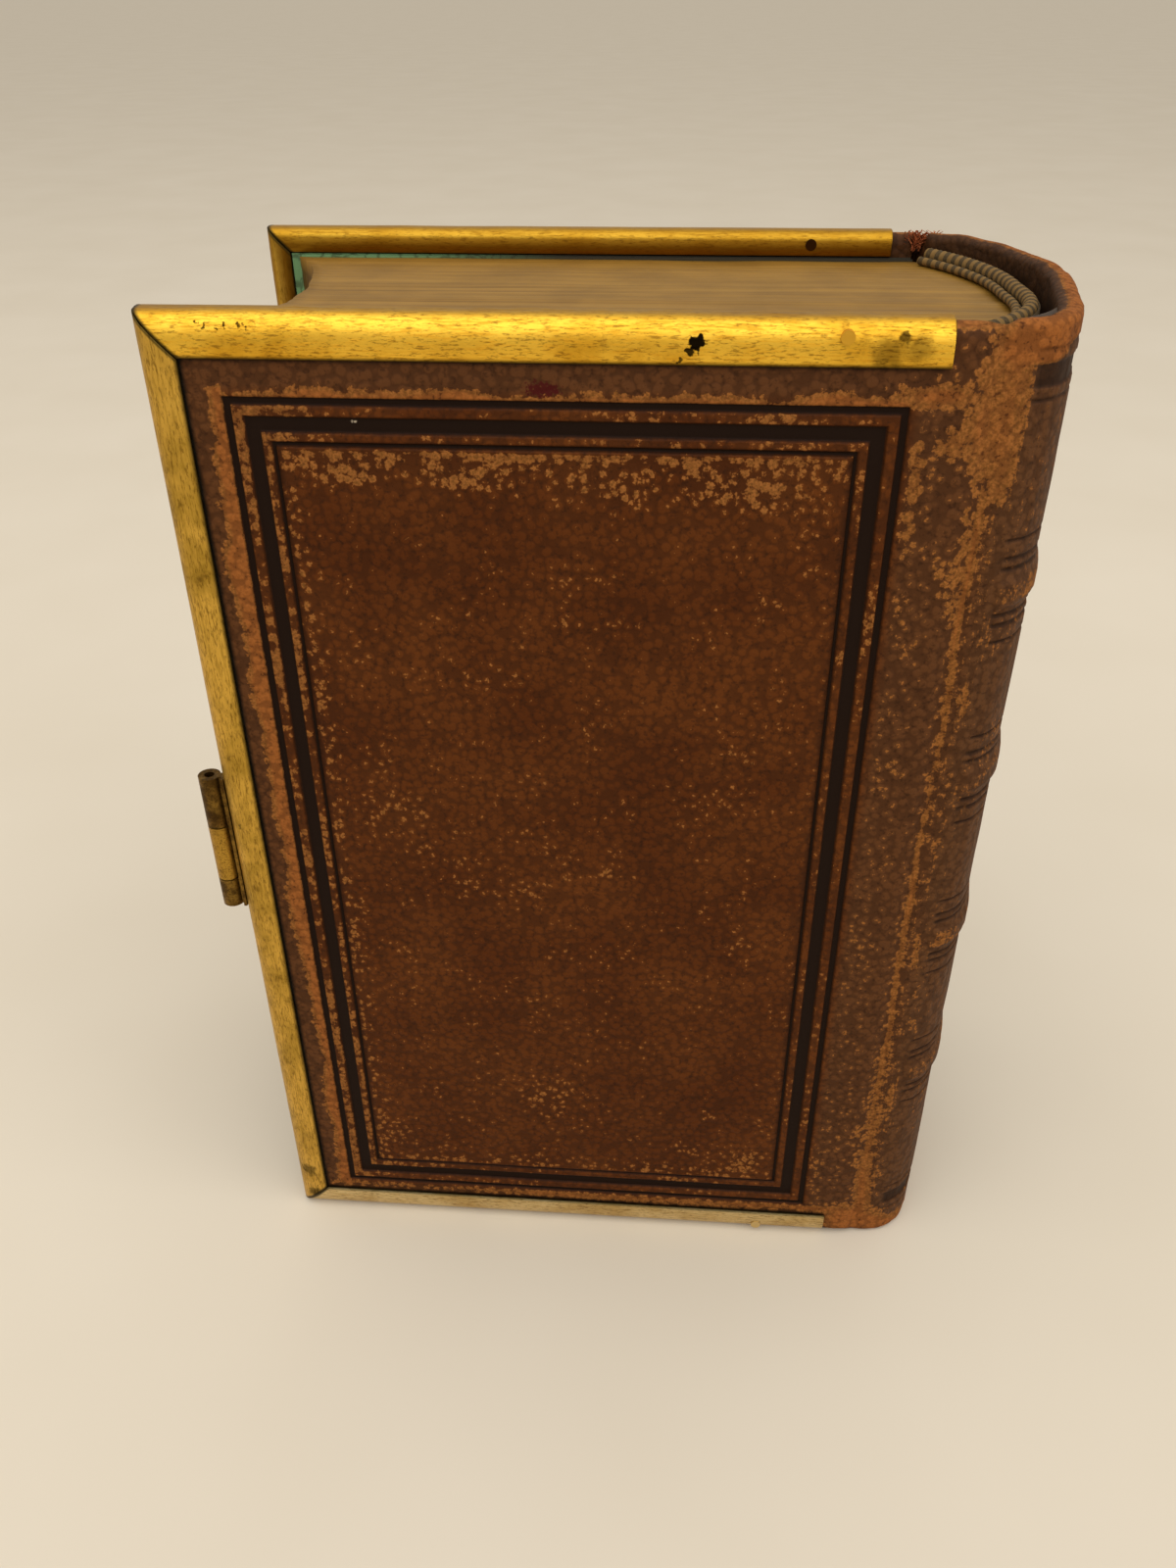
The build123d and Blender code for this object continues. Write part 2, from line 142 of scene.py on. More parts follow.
# %% Pattern helpers
def millimetres(tree, stretch=(1, 1, 1), layer=None):
    """Rest position in millimetres, divided along each axis by stretch."""
    if layer:
        where, scale = add(tree, "Attribute", attribute_name=layer, out="Vector"), 1.0
    else:
        where, scale = add(tree, "TexCoord", out="Object"), 1 / mm
    return add(tree, "VectorMath", where, tuple(scale / s for s in stretch), operation="MULTIPLY")


def stored(tree, *names):
    """The masks that were stored on the mesh under these names."""
    return [add(tree, "Attribute", attribute_name=name, out="Fac") for name in names]


def pushed(tree, where, size, reach, detail):
    """Places pushed by 0 to reach along each axis, in swirls about size millimetres apart."""
    push = add(tree, "TexNoise", where, 1 / size, detail, out="Color")
    push = add(tree, "VectorMath", push, (reach, reach, reach), operation="MULTIPLY")
    return add(tree, "VectorMath", where, push, operation="ADD")


soft_edge = {"interpolation_type": "SMOOTHSTEP"}     # for a MapRange with a soft edge


def total(tree, start, *terms):
    """start plus each value times its weight; any of them may be a number or an output."""
    for value, weight in terms:
        start = add(tree, "Math", value, weight, start, operation="MULTIPLY_ADD")
    return start


def paint(tree, colour, *layers):
    """Lay layers over a colour: mask, amount, shade and, for a soft edge, where it starts and is full."""
    for mask, amount, shade, *edge in layers:
        factor = add(tree, "MapRange", mask, *(edge or (0, 1)), 0, amount, **(soft_edge if edge else {}))
        colour = add(tree, "Mix", factor, colour, shade, data_type="RGBA")
    return colour


print("a pattern that repeats every 2 mm has the scale", 1 / 2)

# %% [markdown]
# ## Making surfaces from rows of points
# Leather, rims and leaves are all made the same way: a table of points, row by row, joined into
# four-sided faces. Numpy fills the table at once, and fine rows go only where a tooled line
# needs them. `wander` gives smooth random hills from a seeded table, for dents and wrinkles.

# %% Surface helpers
def soft(t):
    t = np.clip(t, 0, 1)
    return t * t * (3 - 2 * t)


def steps(*runs):
    """Positions from (start, end, spacing) runs that follow on from each other."""
    found = [np.linspace(a, b, max(2, int(round((b - a) / gap)) + 1))[:-1] for a, b, gap in runs]
    return np.append(np.concatenate(found), runs[-1][1])


def wander(u, v, size, seed):
    """Smooth random hills between -1 and 1, about size apart."""
    side = 97
    table = np.random.default_rng(seed).uniform(-1, 1, (side, side))
    a, b = np.broadcast_arrays(np.asarray(u, float) / size, np.asarray(v, float) / size)
    i, j = np.floor(a).astype(int), np.floor(b).astype(int)
    s, t = soft(a - i), soft(b - j)
    near = table[i % side, j % side] * (1 - s) + table[(i + 1) % side, j % side] * s
    far = table[i % side, (j + 1) % side] * (1 - s) + table[(i + 1) % side, (j + 1) % side] * s
    return near * (1 - t) + far * t


def new_piece(name, points, faces, masks):
    """A mesh with its rest positions and masks stored on it; points in binder's millimetres."""
    mesh = bpy.data.meshes.new(name)
    mesh.from_pydata(((points + [fore, 0, 0]) * mm).tolist(), [], faces)
    for key, values in {"rest": points, **masks}.items():
        kind, field = ("FLOAT_VECTOR", "vector") if key == "rest" else ("FLOAT", "value")
        layer = mesh.attributes.new(key, kind, "POINT")
        layer.data.foreach_set(field, np.ravel(values).astype(np.float32))
    piece = bpy.data.objects.new(name, mesh)
    bpy.context.scene.collection.objects.link(piece)
    print(f"{name}: {len(faces)} faces")
    return piece


def surface(name, points, outward, ring=False, caps=False, masks=None):
    """A piece from a table of points (rows, columns, xyz), which may close into a ring."""
    rows, columns = points.shape[:2]
    index = np.arange(rows * columns).reshape(rows, columns)
    if ring:
        index = np.hstack([index, index[:, :1]])
    corners = [index[:-1, :-1], index[1:, :-1], index[1:, 1:], index[:-1, 1:]]
    faces = np.stack(corners, -1).reshape(-1, 4).tolist()
    if caps:
        faces += [list(range(columns)), list(range((rows - 1) * columns, rows * columns))[::-1]]
    piece = new_piece(name, points.reshape(-1, 3), faces, masks or {})
    mesh = piece.data
    if caps:
        shape = bmesh.new()
        shape.from_mesh(mesh)
        bmesh.ops.recalc_face_normals(shape, faces=shape.faces)
        shape.to_mesh(mesh)
        shape.free()
    elif mesh.polygons[len(mesh.polygons) // 2].normal.dot(Vector(outward)) < 0:
        mesh.flip_normals()
    mesh.shade_smooth()
    return piece


def finish_piece(piece, material, slot, body=None, *nodes):
    """Give a piece its material and its body, and hide the CAD nodes it stands for; slot is not used."""
    piece.data.materials.append(material)
    if body:
        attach(piece, body)
    if nodes:
        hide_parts(*nodes)
    return piece


def stacked(*columns):
    """One table of points from its x, y and z, each spread over the whole table."""
    return np.stack(np.broadcast_arrays(*columns), -1)


print("example of steps:", steps((0, 2, 0.5)))

# %% [markdown]
# ## The leather's path round the book
# One skin of leather runs over the cover, dips into the joint and goes round the spine. The book
# has leaned for years, so the two shoulders differ: the back one has been pushed out square,
# the front one is still round. Each half is a curve through a few measured points, turned into
# closely spaced ones; `across` counts millimetres along it. On the cover that is just the
# distance from the fore-edge.

# %% The path from the fore-edge to the crown of the spine
joint_start = 80.3
shoulder_points = {
    -1: [(joint_start, 24.8), (81.6, 24.55), (82.6, 24.15), (84.2, 24.1), (86.6, 23.6), (88.9, 22.2),
         (90.6, 19.6), (91.7, 16.0), (92.6, 11.0), (93.5, 5.0), (93.9, 0.0), (93.5, -5.0)],
    1: [(joint_start, 24.8), (81.5, 24.6), (82.6, 23.3), (84.2, 22.1), (86.2, 20.8), (88.4, 18.6),
        (90.3, 15.6), (91.7, 12.2), (92.7, 8.4), (93.6, 3.9), (93.9, 0.0), (93.6, -3.9)],
}


def smooth_line(points, count=60):
    """A curve through points that leaves each one smoothly, all but the last."""
    p = np.array(points, float)
    p = np.vstack([p[0] - [2, 0], p])
    t = np.linspace(0, 1, count, endpoint=False)[:, None]
    runs = []
    for a, b, c, d in zip(p[:-3], p[1:-2], p[2:-1], p[3:]):
        bend, twist = 2 * a - 5 * b + 4 * c - d, 3 * b - a - 3 * c + d
        runs.append(0.5 * (2 * b + (c - a) * t + bend * t**2 + twist * t**3))
    return np.vstack(runs + [p[-2:-1]])


class Half:
    """One half of the path, from the fore-edge over one cover to the crown of the spine."""

    def __init__(self, side):
        curve = smooth_line(shoulder_points[side])
        self.side = side
        self.points = np.vstack([[[0, leather_face]], curve])
        gaps = np.linalg.norm(np.diff(self.points, axis=0), axis=1)
        self.length = np.concatenate([[0], np.cumsum(gaps)])
        self.slope = np.gradient(self.points, self.length, axis=0)
        self.slope /= np.linalg.norm(self.slope, axis=1)[:, None]
        self.crown = self.length[-1]

    def at(self, across):
        """x, y and the outward direction at distances along the path."""
        x, y = (np.interp(across, self.length, self.points[:, k]) for k in (0, 1))
        along_x, along_y = (np.interp(across, self.length, self.slope[:, k]) for k in (0, 1))
        return x, y * self.side, -along_y, along_x * self.side


halves = {side: Half(side) for side in (-1, 1)}
shoulder_at = 86.0
print("along the path the crown lies at", [round(float(half.crown), 1) for half in halves.values()])

# %% [markdown]
# ## Tooling, bands and wrinkles
# The binder pressed the frame into damp leather with a heated wheel: an outer line, a broad band
# and a fine line, mitred at the corners. Over the spine four cords raise narrow bands, each with
# fine lines beside it. All of it is real relief here, a height in millimetres along the leather,
# because it catches the light and casts small shadows. Between the sunk lines the leather
# swells up a little, as it does when its neighbours are pressed down.

# %% Height of the tooled frame
frame_box = (8.0, 74.9, 6.2, 122.0)     # fore-edge side, spine side, tail, head
frame_lines = [(0.0, 0.8), (1.9, 1.6), (4.4, 0.5)]
tool_depth, tool_wall = 0.28, 0.2


def inside_frame(x, z):
    """How far a point lies inside the outer line of the frame."""
    left, right, low, high = frame_box
    return np.minimum(np.minimum(x - left, right - x), np.minimum(z - low, high - z))


def pressed(distance, lines, wall):
    """1 in the pressed lines, 0 elsewhere, with soft walls."""
    sunk = 0
    for start, width in lines:
        entered = soft((distance - start + wall / 2) / wall)
        sunk = np.maximum(sunk, entered * soft((start + width + wall / 2 - distance) / wall))
    return sunk


print("lines of the frame start at", [start for start, _ in frame_lines])

# %% Height of the spine's bands and lines
band_levels = [33.0, 56.2, 79.4, 102.6]
end_bands = [7.2, 124.8]
band_height, band_half = 0.46, 2.0
band_lines = [(2.35, 0.5), (3.5, 0.5), (5.6, 0.35)]     # start and width, from a band's middle
line_wall = 0.25


def spine_relief(across, z):
    """Raised height and pressed mask of the spine; both fade out towards the joint."""
    fade = soft((across - shoulder_at) / 1.0)
    wobble = z + 0.12 * wander(across, 0, 6, 5)
    raised, sunk = 0, 0
    for level in band_levels:
        away = np.abs(wobble - level)
        raised = np.maximum(raised, band_height * soft((band_half - away) / 1.2))
        sunk = np.maximum(sunk, pressed(away, band_lines, line_wall))
    for level in end_bands:
        away = np.abs(wobble - level)
        sunk = np.maximum(sunk, soft((1.3 - away) / line_wall))
        sunk = np.maximum(sunk, 0.8 * pressed(away, [(2.2, 0.35)], line_wall))
    return raised * fade, sunk * fade


print("bands at", band_levels, "end bands at", end_bands)

# %% [markdown]
# ## Where the leather is rubbed
# Leather wears where hands and shelves touch it: along the tooled frame, at the joint, on the
# head cap and the corners. The worn places are painted here as soft blobs and strips, stored on
# the mesh. The material later breaks their edges up along the grain, so a soft blob turns
# into ragged, pebbled tan wear.

# %% Places that are rubbed
def blobs(x, z, spots):
    """The strongest of several soft spots: centre x, z, radius across, radius up, strength."""
    return np.max([s * np.exp(-(((x - cx) / rx) ** 2) - ((z - cz) / rz) ** 2)
                   for cx, cz, rx, rz, s in spots], axis=0)


joint_spots = [
    (82.6, 121, 2.6, 9, 1.35), (77.5, 123.0, 5, 1.5, 1.25), (76.2, 114, 1.3, 9, 0.95),
    (79.5, 118.5, 3, 2.5, 0.95), (82.3, 106, 1.6, 10, 1.0), (84.6, 127, 3, 3, 1.35),
    (80, 104, 2.2, 5, 0.6), (76.5, 100, 1.6, 6, 0.6), (82, 3.2, 6.5, 4.5, 1.35),
    (76, 15, 3.5, 9, 0.5), (60, 4.6, 16, 0.9, 0.9), (82, 20, 2.5, 12, 0.7),
]
worn_spots = {
    -1: joint_spots + [
        (22, 73, 7.5, 6, 0.60), (19, 80, 4, 5, 0.5), (20, 115, 7, 3.0, 0.72), (31, 114.6, 8, 2.6, 0.72),
        (46, 113.8, 10, 2.8, 0.64), (60, 113.4, 9, 3.6, 0.68), (67, 108, 3, 9, 0.48),
        (38, 26, 7, 8, 0.50), (47, 65, 9, 1.3, 0.55), (28, 66, 6, 1.3, 0.5), (57, 17, 7, 3, 0.5),
        (66, 14.5, 5, 5, 0.62), (62, 55, 4, 6, 0.4), (30, 62, 9, 5, 0.42), (17, 17, 5, 6, 0.5),
        (35, 90, 12, 9, 0.3),
    ],
    1: [
        (82.6, 124, 2.6, 5, 1.3), (82, 3.2, 5.5, 4.5, 1.3), (82, 20, 2.5, 9, 0.7),
        (52, 47, 13, 12, 0.52), (24, 104, 6, 9, 0.5), (60, 20, 9, 5, 0.5),
    ],
}
full_wear = 1.3
print("rubbed places:", {side: len(spots) for side, spots in worn_spots.items()})


# %% Wear on a cover
def border_wear(x, z, side):
    """Strips rubbed along the outer line of the frame: above it, beside it and below it."""
    left, right, low, high = frame_box
    width = 1.75 + 0.6 * wander(x + z, 0, 5, 17 + 5 * side) + 0.35 * wander(x + z, 0, 1.3, 18)
    above = 1.2 * soft((high + width - z) / 1.7) * soft((z - high + 0.3) / 0.3) * soft((x - 5.6) / 1.2)
    beside = 1.3 * soft((x - left + width + 1.1) / 2.0) * soft((left + 0.3 - x) / 0.3)
    beside = beside * soft((z - 3) / 3) * soft((high + 1.6 - z) / 0.8)
    below = (0.7 + 0.45 * soft((x - 25) / 15)) * np.exp(-(((z - low + 0.8) / 0.9) ** 2))
    margin = 0.40 * soft((x - right - 0.3) / 1.0) * soft((80.5 - x) / 1.0)
    return np.maximum.reduce([above, beside, below, margin])


def cover_wear(x, z, side):
    """Wear of a whole cover: border, panel, the strip between the lines, and single spots."""
    inside = inside_frame(x, z)
    ragged = wander(x, z, 2.6, 11 + side)
    left, right, low, high = frame_box
    panel = soft((inside - 4.9) / 0.4)
    reach = 5        # from the outer line to the panel
    near_edges = [(high - reach - z, 0.80, 5.0), (x - left - reach, 0.66, 4.0),
                  (z - low - reach, 0.62, 5.0), (right - reach - x, 0.50, 2.5)]
    edges = np.maximum.reduce([most * np.exp(-away / run) for away, most, run in near_edges])
    middle = panel * np.clip(np.maximum(edges, 0.25 + 0.10 * ragged), 0, 1)
    worn = np.maximum.reduce([border_wear(x, z, side), middle, blobs(x, z, worn_spots[side])])
    between = soft((inside + 0.1) / 0.3) * (1 - panel)
    flecked = 0.38 + 0.22 * wander(x, z, 5, 19 + side) + 0.28 * soft((18 - x) / 6)
    flecked = flecked + 0.10 * soft((z - 110) / 8)
    worn = worn * (1 - between) + flecked * between
    return np.clip(worn + 0.10 * ragged, 0, full_wear)


print("wear at the head of the panel:", round(float(cover_wear(40.0, 114.0, -1)), 2))


# %% Wear along the joint
def joint_wear(across, z):
    """The ridge beside the joint rubs through first: a ragged line with flecks around it."""
    ridge = across - 83.1 - 0.3 * wander(z, 0, 7, 12)
    line = (0.98 + 0.25 * wander(z, 0, 9, 13)) * np.exp(-((ridge / 0.6) ** 2))
    around = (0.50 + 0.18 * soft((45 - z) / 20)) * np.exp(-((ridge / 2.4) ** 2))
    foot = 1.15 * np.exp(-((ridge / 1.6) ** 2)) * soft((30 - z) / 20)
    corner = 1.3 * np.exp(-(((across - 82.0) / 5.0) ** 2)) * soft((7.5 - z) / 3.0)
    return np.maximum.reduce([line, around, foot, corner])


print("wear on the ridge, half way up:", round(float(joint_wear(83.1, height / 2)), 2))


# %% Wear on the spine
def spine_wear(across, z, raised):
    """Wear of the head and tail caps, the bands, and the shoulder just past the joint."""
    head = 1.25 * soft((z - 125.4 - 1.6 * soft((across - 88) / 4)) / 0.8)
    tail = 1.25 * soft((6.0 - 2.6 * soft((across - 84) / 6) - z) / 2.5)
    joint = 0.7 * np.exp(-(((across - 84.6) / 1.5) ** 2)) * (0.7 + 0.5 * wander(across, z, 6, 14))
    top = 1.1 * np.exp(-(((across - 84.4) / 2.0) ** 2)) * soft((z - 108) / 8)
    bands = 0.62 * raised / band_height * (0.8 + 0.35 * wander(across, z, 4, 16))
    flecks = 0.24 + 0.20 * wander(across, z, 7, 15)
    return np.clip(np.maximum.reduce([head, tail, joint, top, bands, flecks]), 0, full_wear)


print("wear on a band:", round(float(spine_wear(90.0, band_levels[0], band_height)), 2))

# %% [markdown]
# ## Rows of the leather skin
# Across the book the columns run from the fore-edge to the joint or round the spine. Up the book
# the rows start inside the tail, where the leather is turned in, go round the tail edge, up
# the outside, over the head edge and down the inside to where they began, so the skin is closed.
# The turn follows the thickness it wraps: the board on the covers, the card on the spine.

# %% Rows up the leather
turn_in = 9.0


def skin_rows(tail, head, roll, levels):
    """For every row: its depth (0 outside, 1 inside), its height, and 1 where it lies outside."""
    full = np.ones_like(tail)
    rows = []
    for k in np.linspace(0, 1, 6)[:-1]:
        rows.append((full, tail + turn_in * (1 - k) + roll * k, 0.0))
    for k in np.linspace(0, 1, 12)[:-1]:
        round_tail = tail + roll - roll * np.sin(np.pi * k) ** 0.8
        rows.append((full * (1 + np.cos(np.pi * k)) / 2, round_tail, k))
    start, stop = levels[0], levels[-1]
    for level in levels:
        to_tail = soft((start + 3 - level) / 3) * (tail + roll - start)
        to_head = soft((level - stop + 3) / 3) * (head - roll - stop)
        rows.append((full * 0, level + to_tail + to_head, 1.0))
    for k in np.linspace(0, 1, 12)[1:]:
        round_head = head - roll + roll * np.sin(np.pi * k) ** 0.8
        rows.append((full * (1 - np.cos(np.pi * k)) / 2, round_head, 1 - k))
    for k in np.linspace(0, 1, 6)[1:]:
        rows.append((full, head - turn_in * k - roll * (1 - k), 0.0))
    for k in np.linspace(0, 1, 14)[1:]:
        rows.append((full, (head - turn_in) * (1 - k) + (tail + turn_in) * k, 0.0))
    depth, z, outside = zip(*rows)
    return np.vstack(depth), np.vstack(z), soft(np.array(outside))[:, None]


print("the leather is turned in by", turn_in, "mm")


# %% Relief and masks of the leather
def skin_relief(s, z, wide, spine, outside):
    """Height of the surface, the pressed masks of frame and spine, and the raised bands."""
    inside = inside_frame(s, z)
    on_cover = s < 79
    sunk_frame = pressed(inside, frame_lines, tool_wall) * on_cover
    swell = 0.07 * soft((inside + 0.8) / 0.8) * (1 - soft((inside - 5.0) / 0.8)) * on_cover
    raised, sunk_spine = spine_relief(s, z)
    streaks = 0.06 * wander(wide, z / 7, 0.9, 31) + 0.06 * wander(wide, z / 5, 2.1, 32)
    relief = -tool_depth * sunk_frame + swell * (1 - sunk_frame) + raised - 0.22 * sunk_spine
    relief += (0.05 * wander(s, z, 13, 33) + 0.03 * wander(s, z, 4, 34)) * (1 - spine)
    relief += streaks * spine * (1 - raised)
    from_edge = np.minimum(s, np.minimum(z, height - z))
    under_rim = soft((rim_width - 0.4 - from_edge) / 1.0) * soft((rim_stop - 0.1 - s) / 0.4)
    relief = (np.minimum(relief, 0.47) - 0.9 * under_rim) * outside
    return relief, sunk_frame, sunk_spine, raised


def skin_masks(s, z, wide, spine, outside, side, sunk_frame, sunk_spine, raised):
    """Masks for the material: rubbed, pressed, spine, faded by light, and painted shade by the rims and
    inside.
    """
    worn = cover_wear(s, z, side) * (1 - 0.8 * sunk_frame) * (1 - spine)
    worn = np.maximum(worn + spine_wear(s, z, raised) * spine, joint_wear(s, z))
    edge_rub = soft((0.97 - outside) / 0.1) * soft((outside - 0.25) / 0.2)
    edge_rub = edge_rub * soft((s - rim_stop + 0.5) / 1.0) * (1.0 + 0.3 * wander(wide, z, 2.5, 35))
    past_rim = soft((np.minimum(z, height - z) - rim_width) / 0.45)
    near_rim = np.maximum(soft((rim_width + 0.45 - s) / 0.35), 1 - past_rim)
    return {
        "worn": np.maximum(worn * soft((outside - 0.2) / 0.3), edge_rub),
        "sunk": np.maximum(sunk_frame, 0.75 * sunk_spine),
        "spine": spine + 0 * z,
        "faded": np.maximum(0.75 * soft((0.2 - inside_frame(s, z)) / 1.5), spine),
        # painted shade: a near-black line in the gap beside the rims, and darker leather where it is turned
        # in
        "grime_and_shade": np.maximum(near_rim * soft((rim_stop - s) / 0.4), 0.45 * soft((0.35 - outside) / 0.3)),
    }


# %% Build one stretch of leather
def leather_skin(name, stretches, levels, notch=0.0):
    """Mesh of the skin: stretches are (half of the path, distances along it), joined in order."""
    places = zip(*(half.at(across) for half, across in stretches))
    x, y, out_x, out_y = (np.concatenate(column)[None, :] for column in places)
    s = np.concatenate([across for half, across in stretches])[None, :]
    wide = np.concatenate([half.crown - across for half, across in stretches])[None, :]
    spine = soft((s - joint_start) / (shoulder_at - joint_start))
    board_end = soft((s - 80.4) / 1.8)
    thick = 3.5 * (1 - board_end) + 2.5 * board_end - 1.3 * np.exp(-(((s - 82.8) / 1.2) ** 2))
    roll = 1.25 * (1 - spine) + 0.9 * spine
    dips = notch * np.exp(-(((s - 82.9) / 0.7) ** 2))
    head = height - 0.45 * (1 - spine) - 0.12 * spine * (1 + wander(wide, 0, 3.1, 21)) - dips
    tail = 0.45 * (1 - spine) + 0.05 * spine * (1 + wander(wide, 0, 3.1, 22))
    depth, z, outside = skin_rows(tail, head, roll, levels)
    s, wide = np.broadcast_to(s, z.shape), np.broadcast_to(wide, z.shape)
    relief, *pressings = skin_relief(s, z, wide, spine, outside)
    masks = skin_masks(s, z, wide, spine, outside, stretches[0][0].side, *pressings)
    level = relief - depth * thick
    outward = (0, y[0, 0], 0) if len(stretches) == 1 else (1, 0, 0)
    return surface(name, stacked(x + out_x * level, y + out_y * level, z), outward, masks=masks)


# %% [markdown]
# ## The leather itself
# Goatskin, dyed brown, tooled and handled for over a century. Its grain is pebbled: small rounded
# bumps about a millimetre across, split by dark creases. It is not a metal, has an IOR near 1.5
# and a satin gloss where the grain is polished. Where the dyed surface is rubbed through, the
# paler tan of the skin shows, first on the tops of the pebbles. The pressed lines were
# burned nearly black by the hot tool and stay smooth.

# %% Worn goatskin
pebble = 0.95     # millimetres from one grain bump to the next
leather_stains = [
    (39.8, 123.1, 1.15, "#400808", 0.9), (20.9, 119.7, 0.22, "#b8a890", 0.8),
    (33.5, 88.5, 0.2, "#9c8a70", 0.7), (49.5, 96.5, 0.18, "#9c8a70", 0.7),
    (58.5, 74.5, 0.2, "#8f7d64", 0.6), (27.5, 51.5, 0.18, "#9c8a70", 0.7),
]


def stained(tree, colour, where, fine):
    """Small stains on the near cover: x, z, radius, shade and amount, with frayed edges."""
    for x, z, size, shade, amount in leather_stains:
        away = add(tree, "VectorMath", where, (x, 0.4 - leather_face, z), operation="SUBTRACT")
        away = add(tree, "VectorMath", away, (0.55, 1, 1.2), operation="MULTIPLY")
        away = add(tree, "VectorMath", away, operation="LENGTH")
        away = total(tree, away, (fine, 2.4 * size))
        colour = paint(tree, colour, (away, amount, shade, 2.2 * size, 1.8 * size))
    return colour


def goatskin(name, dark, light, faded, crease, tan_dark, tan_light):
    """Dyed skin with its pebbled grain, rubbed, burnt by the tools, with painted shade beside the rims."""
    material, tree = new_material(name)
    where = millimetres(tree, layer="rest")
    worn, sunk, spine, in_light, grime_and_shade = stored(tree, "worn", "sunk", "spine", "faded", "grime_and_shade")
    bent = pushed(tree, where, 1.3, 0.55, 2.0)
    edge = add(tree, "TexVoronoi", bent, 1 / pebble, Randomness=0.9, feature="F1")
    top = total(tree, 1.0, (edge, -1.25))
    fine = add(tree, "TexNoise", where, 1 / 0.35, 4.0, 0.65)
    grain = add(tree, "TexNoise", where, 1 / 0.5, 3.0, 0.55)
    cloud = add(tree, "TexNoise", where, 1 / 11.0, 3.0, 0.55)
    streak = add(tree, "TexNoise", millimetres(tree, (0.35, 0.35, 2.4), "rest"), 1.0, 3.0, 0.6)

    body = paint(tree, dark, (cloud, 1.0, light, 0.25, 0.75), (in_light, 1.0, faded),
                 (grain, 0.5, crease, 0.52, 0.70), (edge, 0.42, crease, 0.40, 0.66))
    pebbled, streaked = total(tree, 0.65, (spine, -0.4)), total(tree, 0.3, (spine, 0.6))
    ragged = total(tree, fine, (top, pebbled), (streak, streaked), (worn, 1.0))
    rubbed = add(tree, "MapRange", ragged, 1.50, 1.60, **soft_edge)
    creases = add(tree, "MapRange", edge, 0.40, 0.66, 0, 0.462, **soft_edge)
    flecks = add(tree, "MapRange", grain, 0.58, 0.68, 0, 0.55, **soft_edge)
    tan = paint(tree, tan_dark, (fine, 1.0, tan_light, 0.35, 0.65), (worn, 0.6, "#945424", 0.9, 1.25),
                (total(tree, creases, (flecks, 1.0)), 1.0, "#4e2a10"))
    burnt = total(tree, 0.0, (sunk, total(tree, 1.0, (rubbed, -0.35))))
    # the last layer is painted shade, near black, in the gap beside the rims and on the turned-in leather
    colour = paint(tree, body, (rubbed, 1.0, tan), (burnt, 1.0, "#1a0c04"), (grime_and_shade, 1.0, "#100d07"))
    colour = stained(tree, colour, where, fine)

    gloss = total(tree, 0.52, (fine, 0.2), (rubbed, 0.2))
    along_spine = total(tree, 0.0, (streak, spine))
    bumps = total(tree, 0.0, (top, 0.8), (fine, 0.35), (along_spine, 0.9), (rubbed, -0.15))
    bumps = total(tree, 0.0, (bumps, total(tree, 1.0, (sunk, -0.85))))
    bump = add(tree, "Bump", Height=bumps, Strength=0.8, Distance=0.16 * mm)
    set_surface(tree, Base_Color=colour, Roughness=gloss, IOR=1.5, Specular_IOR_Level=0.09, Normal=bump)
    return material


leather = goatskin("goatskin, brown, tooled and rubbed", "#4c2304", "#5c2f0b", "#57361c", "#241003",
                   "#6a421a", "#925b2a")
print("leather:", len(leather.node_tree.nodes), "nodes")

# %% Lay the leather on both covers and the spine
outer_gap, line_gap, panel_gap = 0.45, 0.13, 0.62
cover_columns = steps((1.5, 7.3, 0.5), (7.3, 12.9, line_gap), (12.9, 70.0, panel_gap),
                      (70.0, 75.2, line_gap), (75.2, 80.2, outer_gap), (80.2, shoulder_at, 0.25))
cover_levels = steps((2.6, 5.9, outer_gap), (5.9, 11.5, line_gap), (11.5, 116.6, panel_gap),
                     (116.6, 122.3, line_gap), (122.3, 127.4, outer_gap))
for side, name, notch in ((-1, "back", 0.3), (1, "front", 2.2)):
    skin = leather_skin(f"{name}_cover_goatskin", [(halves[side], cover_columns)], cover_levels, notch)
    finish_piece(skin, leather, "cover_leather", None, f"{name}_cover_leather")
    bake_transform(skin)

spine_top, spine_gap = 127.4, 0.32
spine_runs, at = [], 2.6
for level in [end_bands[0]] + band_levels + [end_bands[1]]:
    reach = 3.2 if level in end_bands else 6.2
    low, high = max(level - reach, at), min(level + reach, spine_top)
    if low > at:
        spine_runs.append((at, low, 0.7))
    spine_runs.append((low, high, 0.17))
    at = high
front_run, back_run = (steps((shoulder_at, halves[side].crown, spine_gap)) for side in (1, -1))
round_the_spine = [(halves[1], front_run), (halves[-1], back_run[::-1][1:])]
spine_skin = leather_skin("spine_goatskin", round_the_spine, steps(*spine_runs))
finish_piece(spine_skin, leather, "spine_leather", "text_block", "spine_leather")

# %% [markdown]
# ## A torn corner at the front joint
# At the head the leather of the front joint has worn through. Its fibres stand up in a small
# reddish tuft beside the gap. Each fibre is a thin, curling strand with a few sides, seeded so
# that the tuft never changes.

# %% Tuft of torn fibres
torn_leather, tree = new_material("goatskin, torn fibres")
strands = add(tree, "TexNoise", millimetres(tree, layer="rest"), 1 / 0.3, 3.0, 0.55)
colour = paint(tree, "#7a3a1e", (strands, 1.0, "#a8603a", 0.35, 0.65))
set_surface(tree, Base_Color=colour, Roughness=0.95, IOR=1.5, Specular_IOR_Level=0.1)

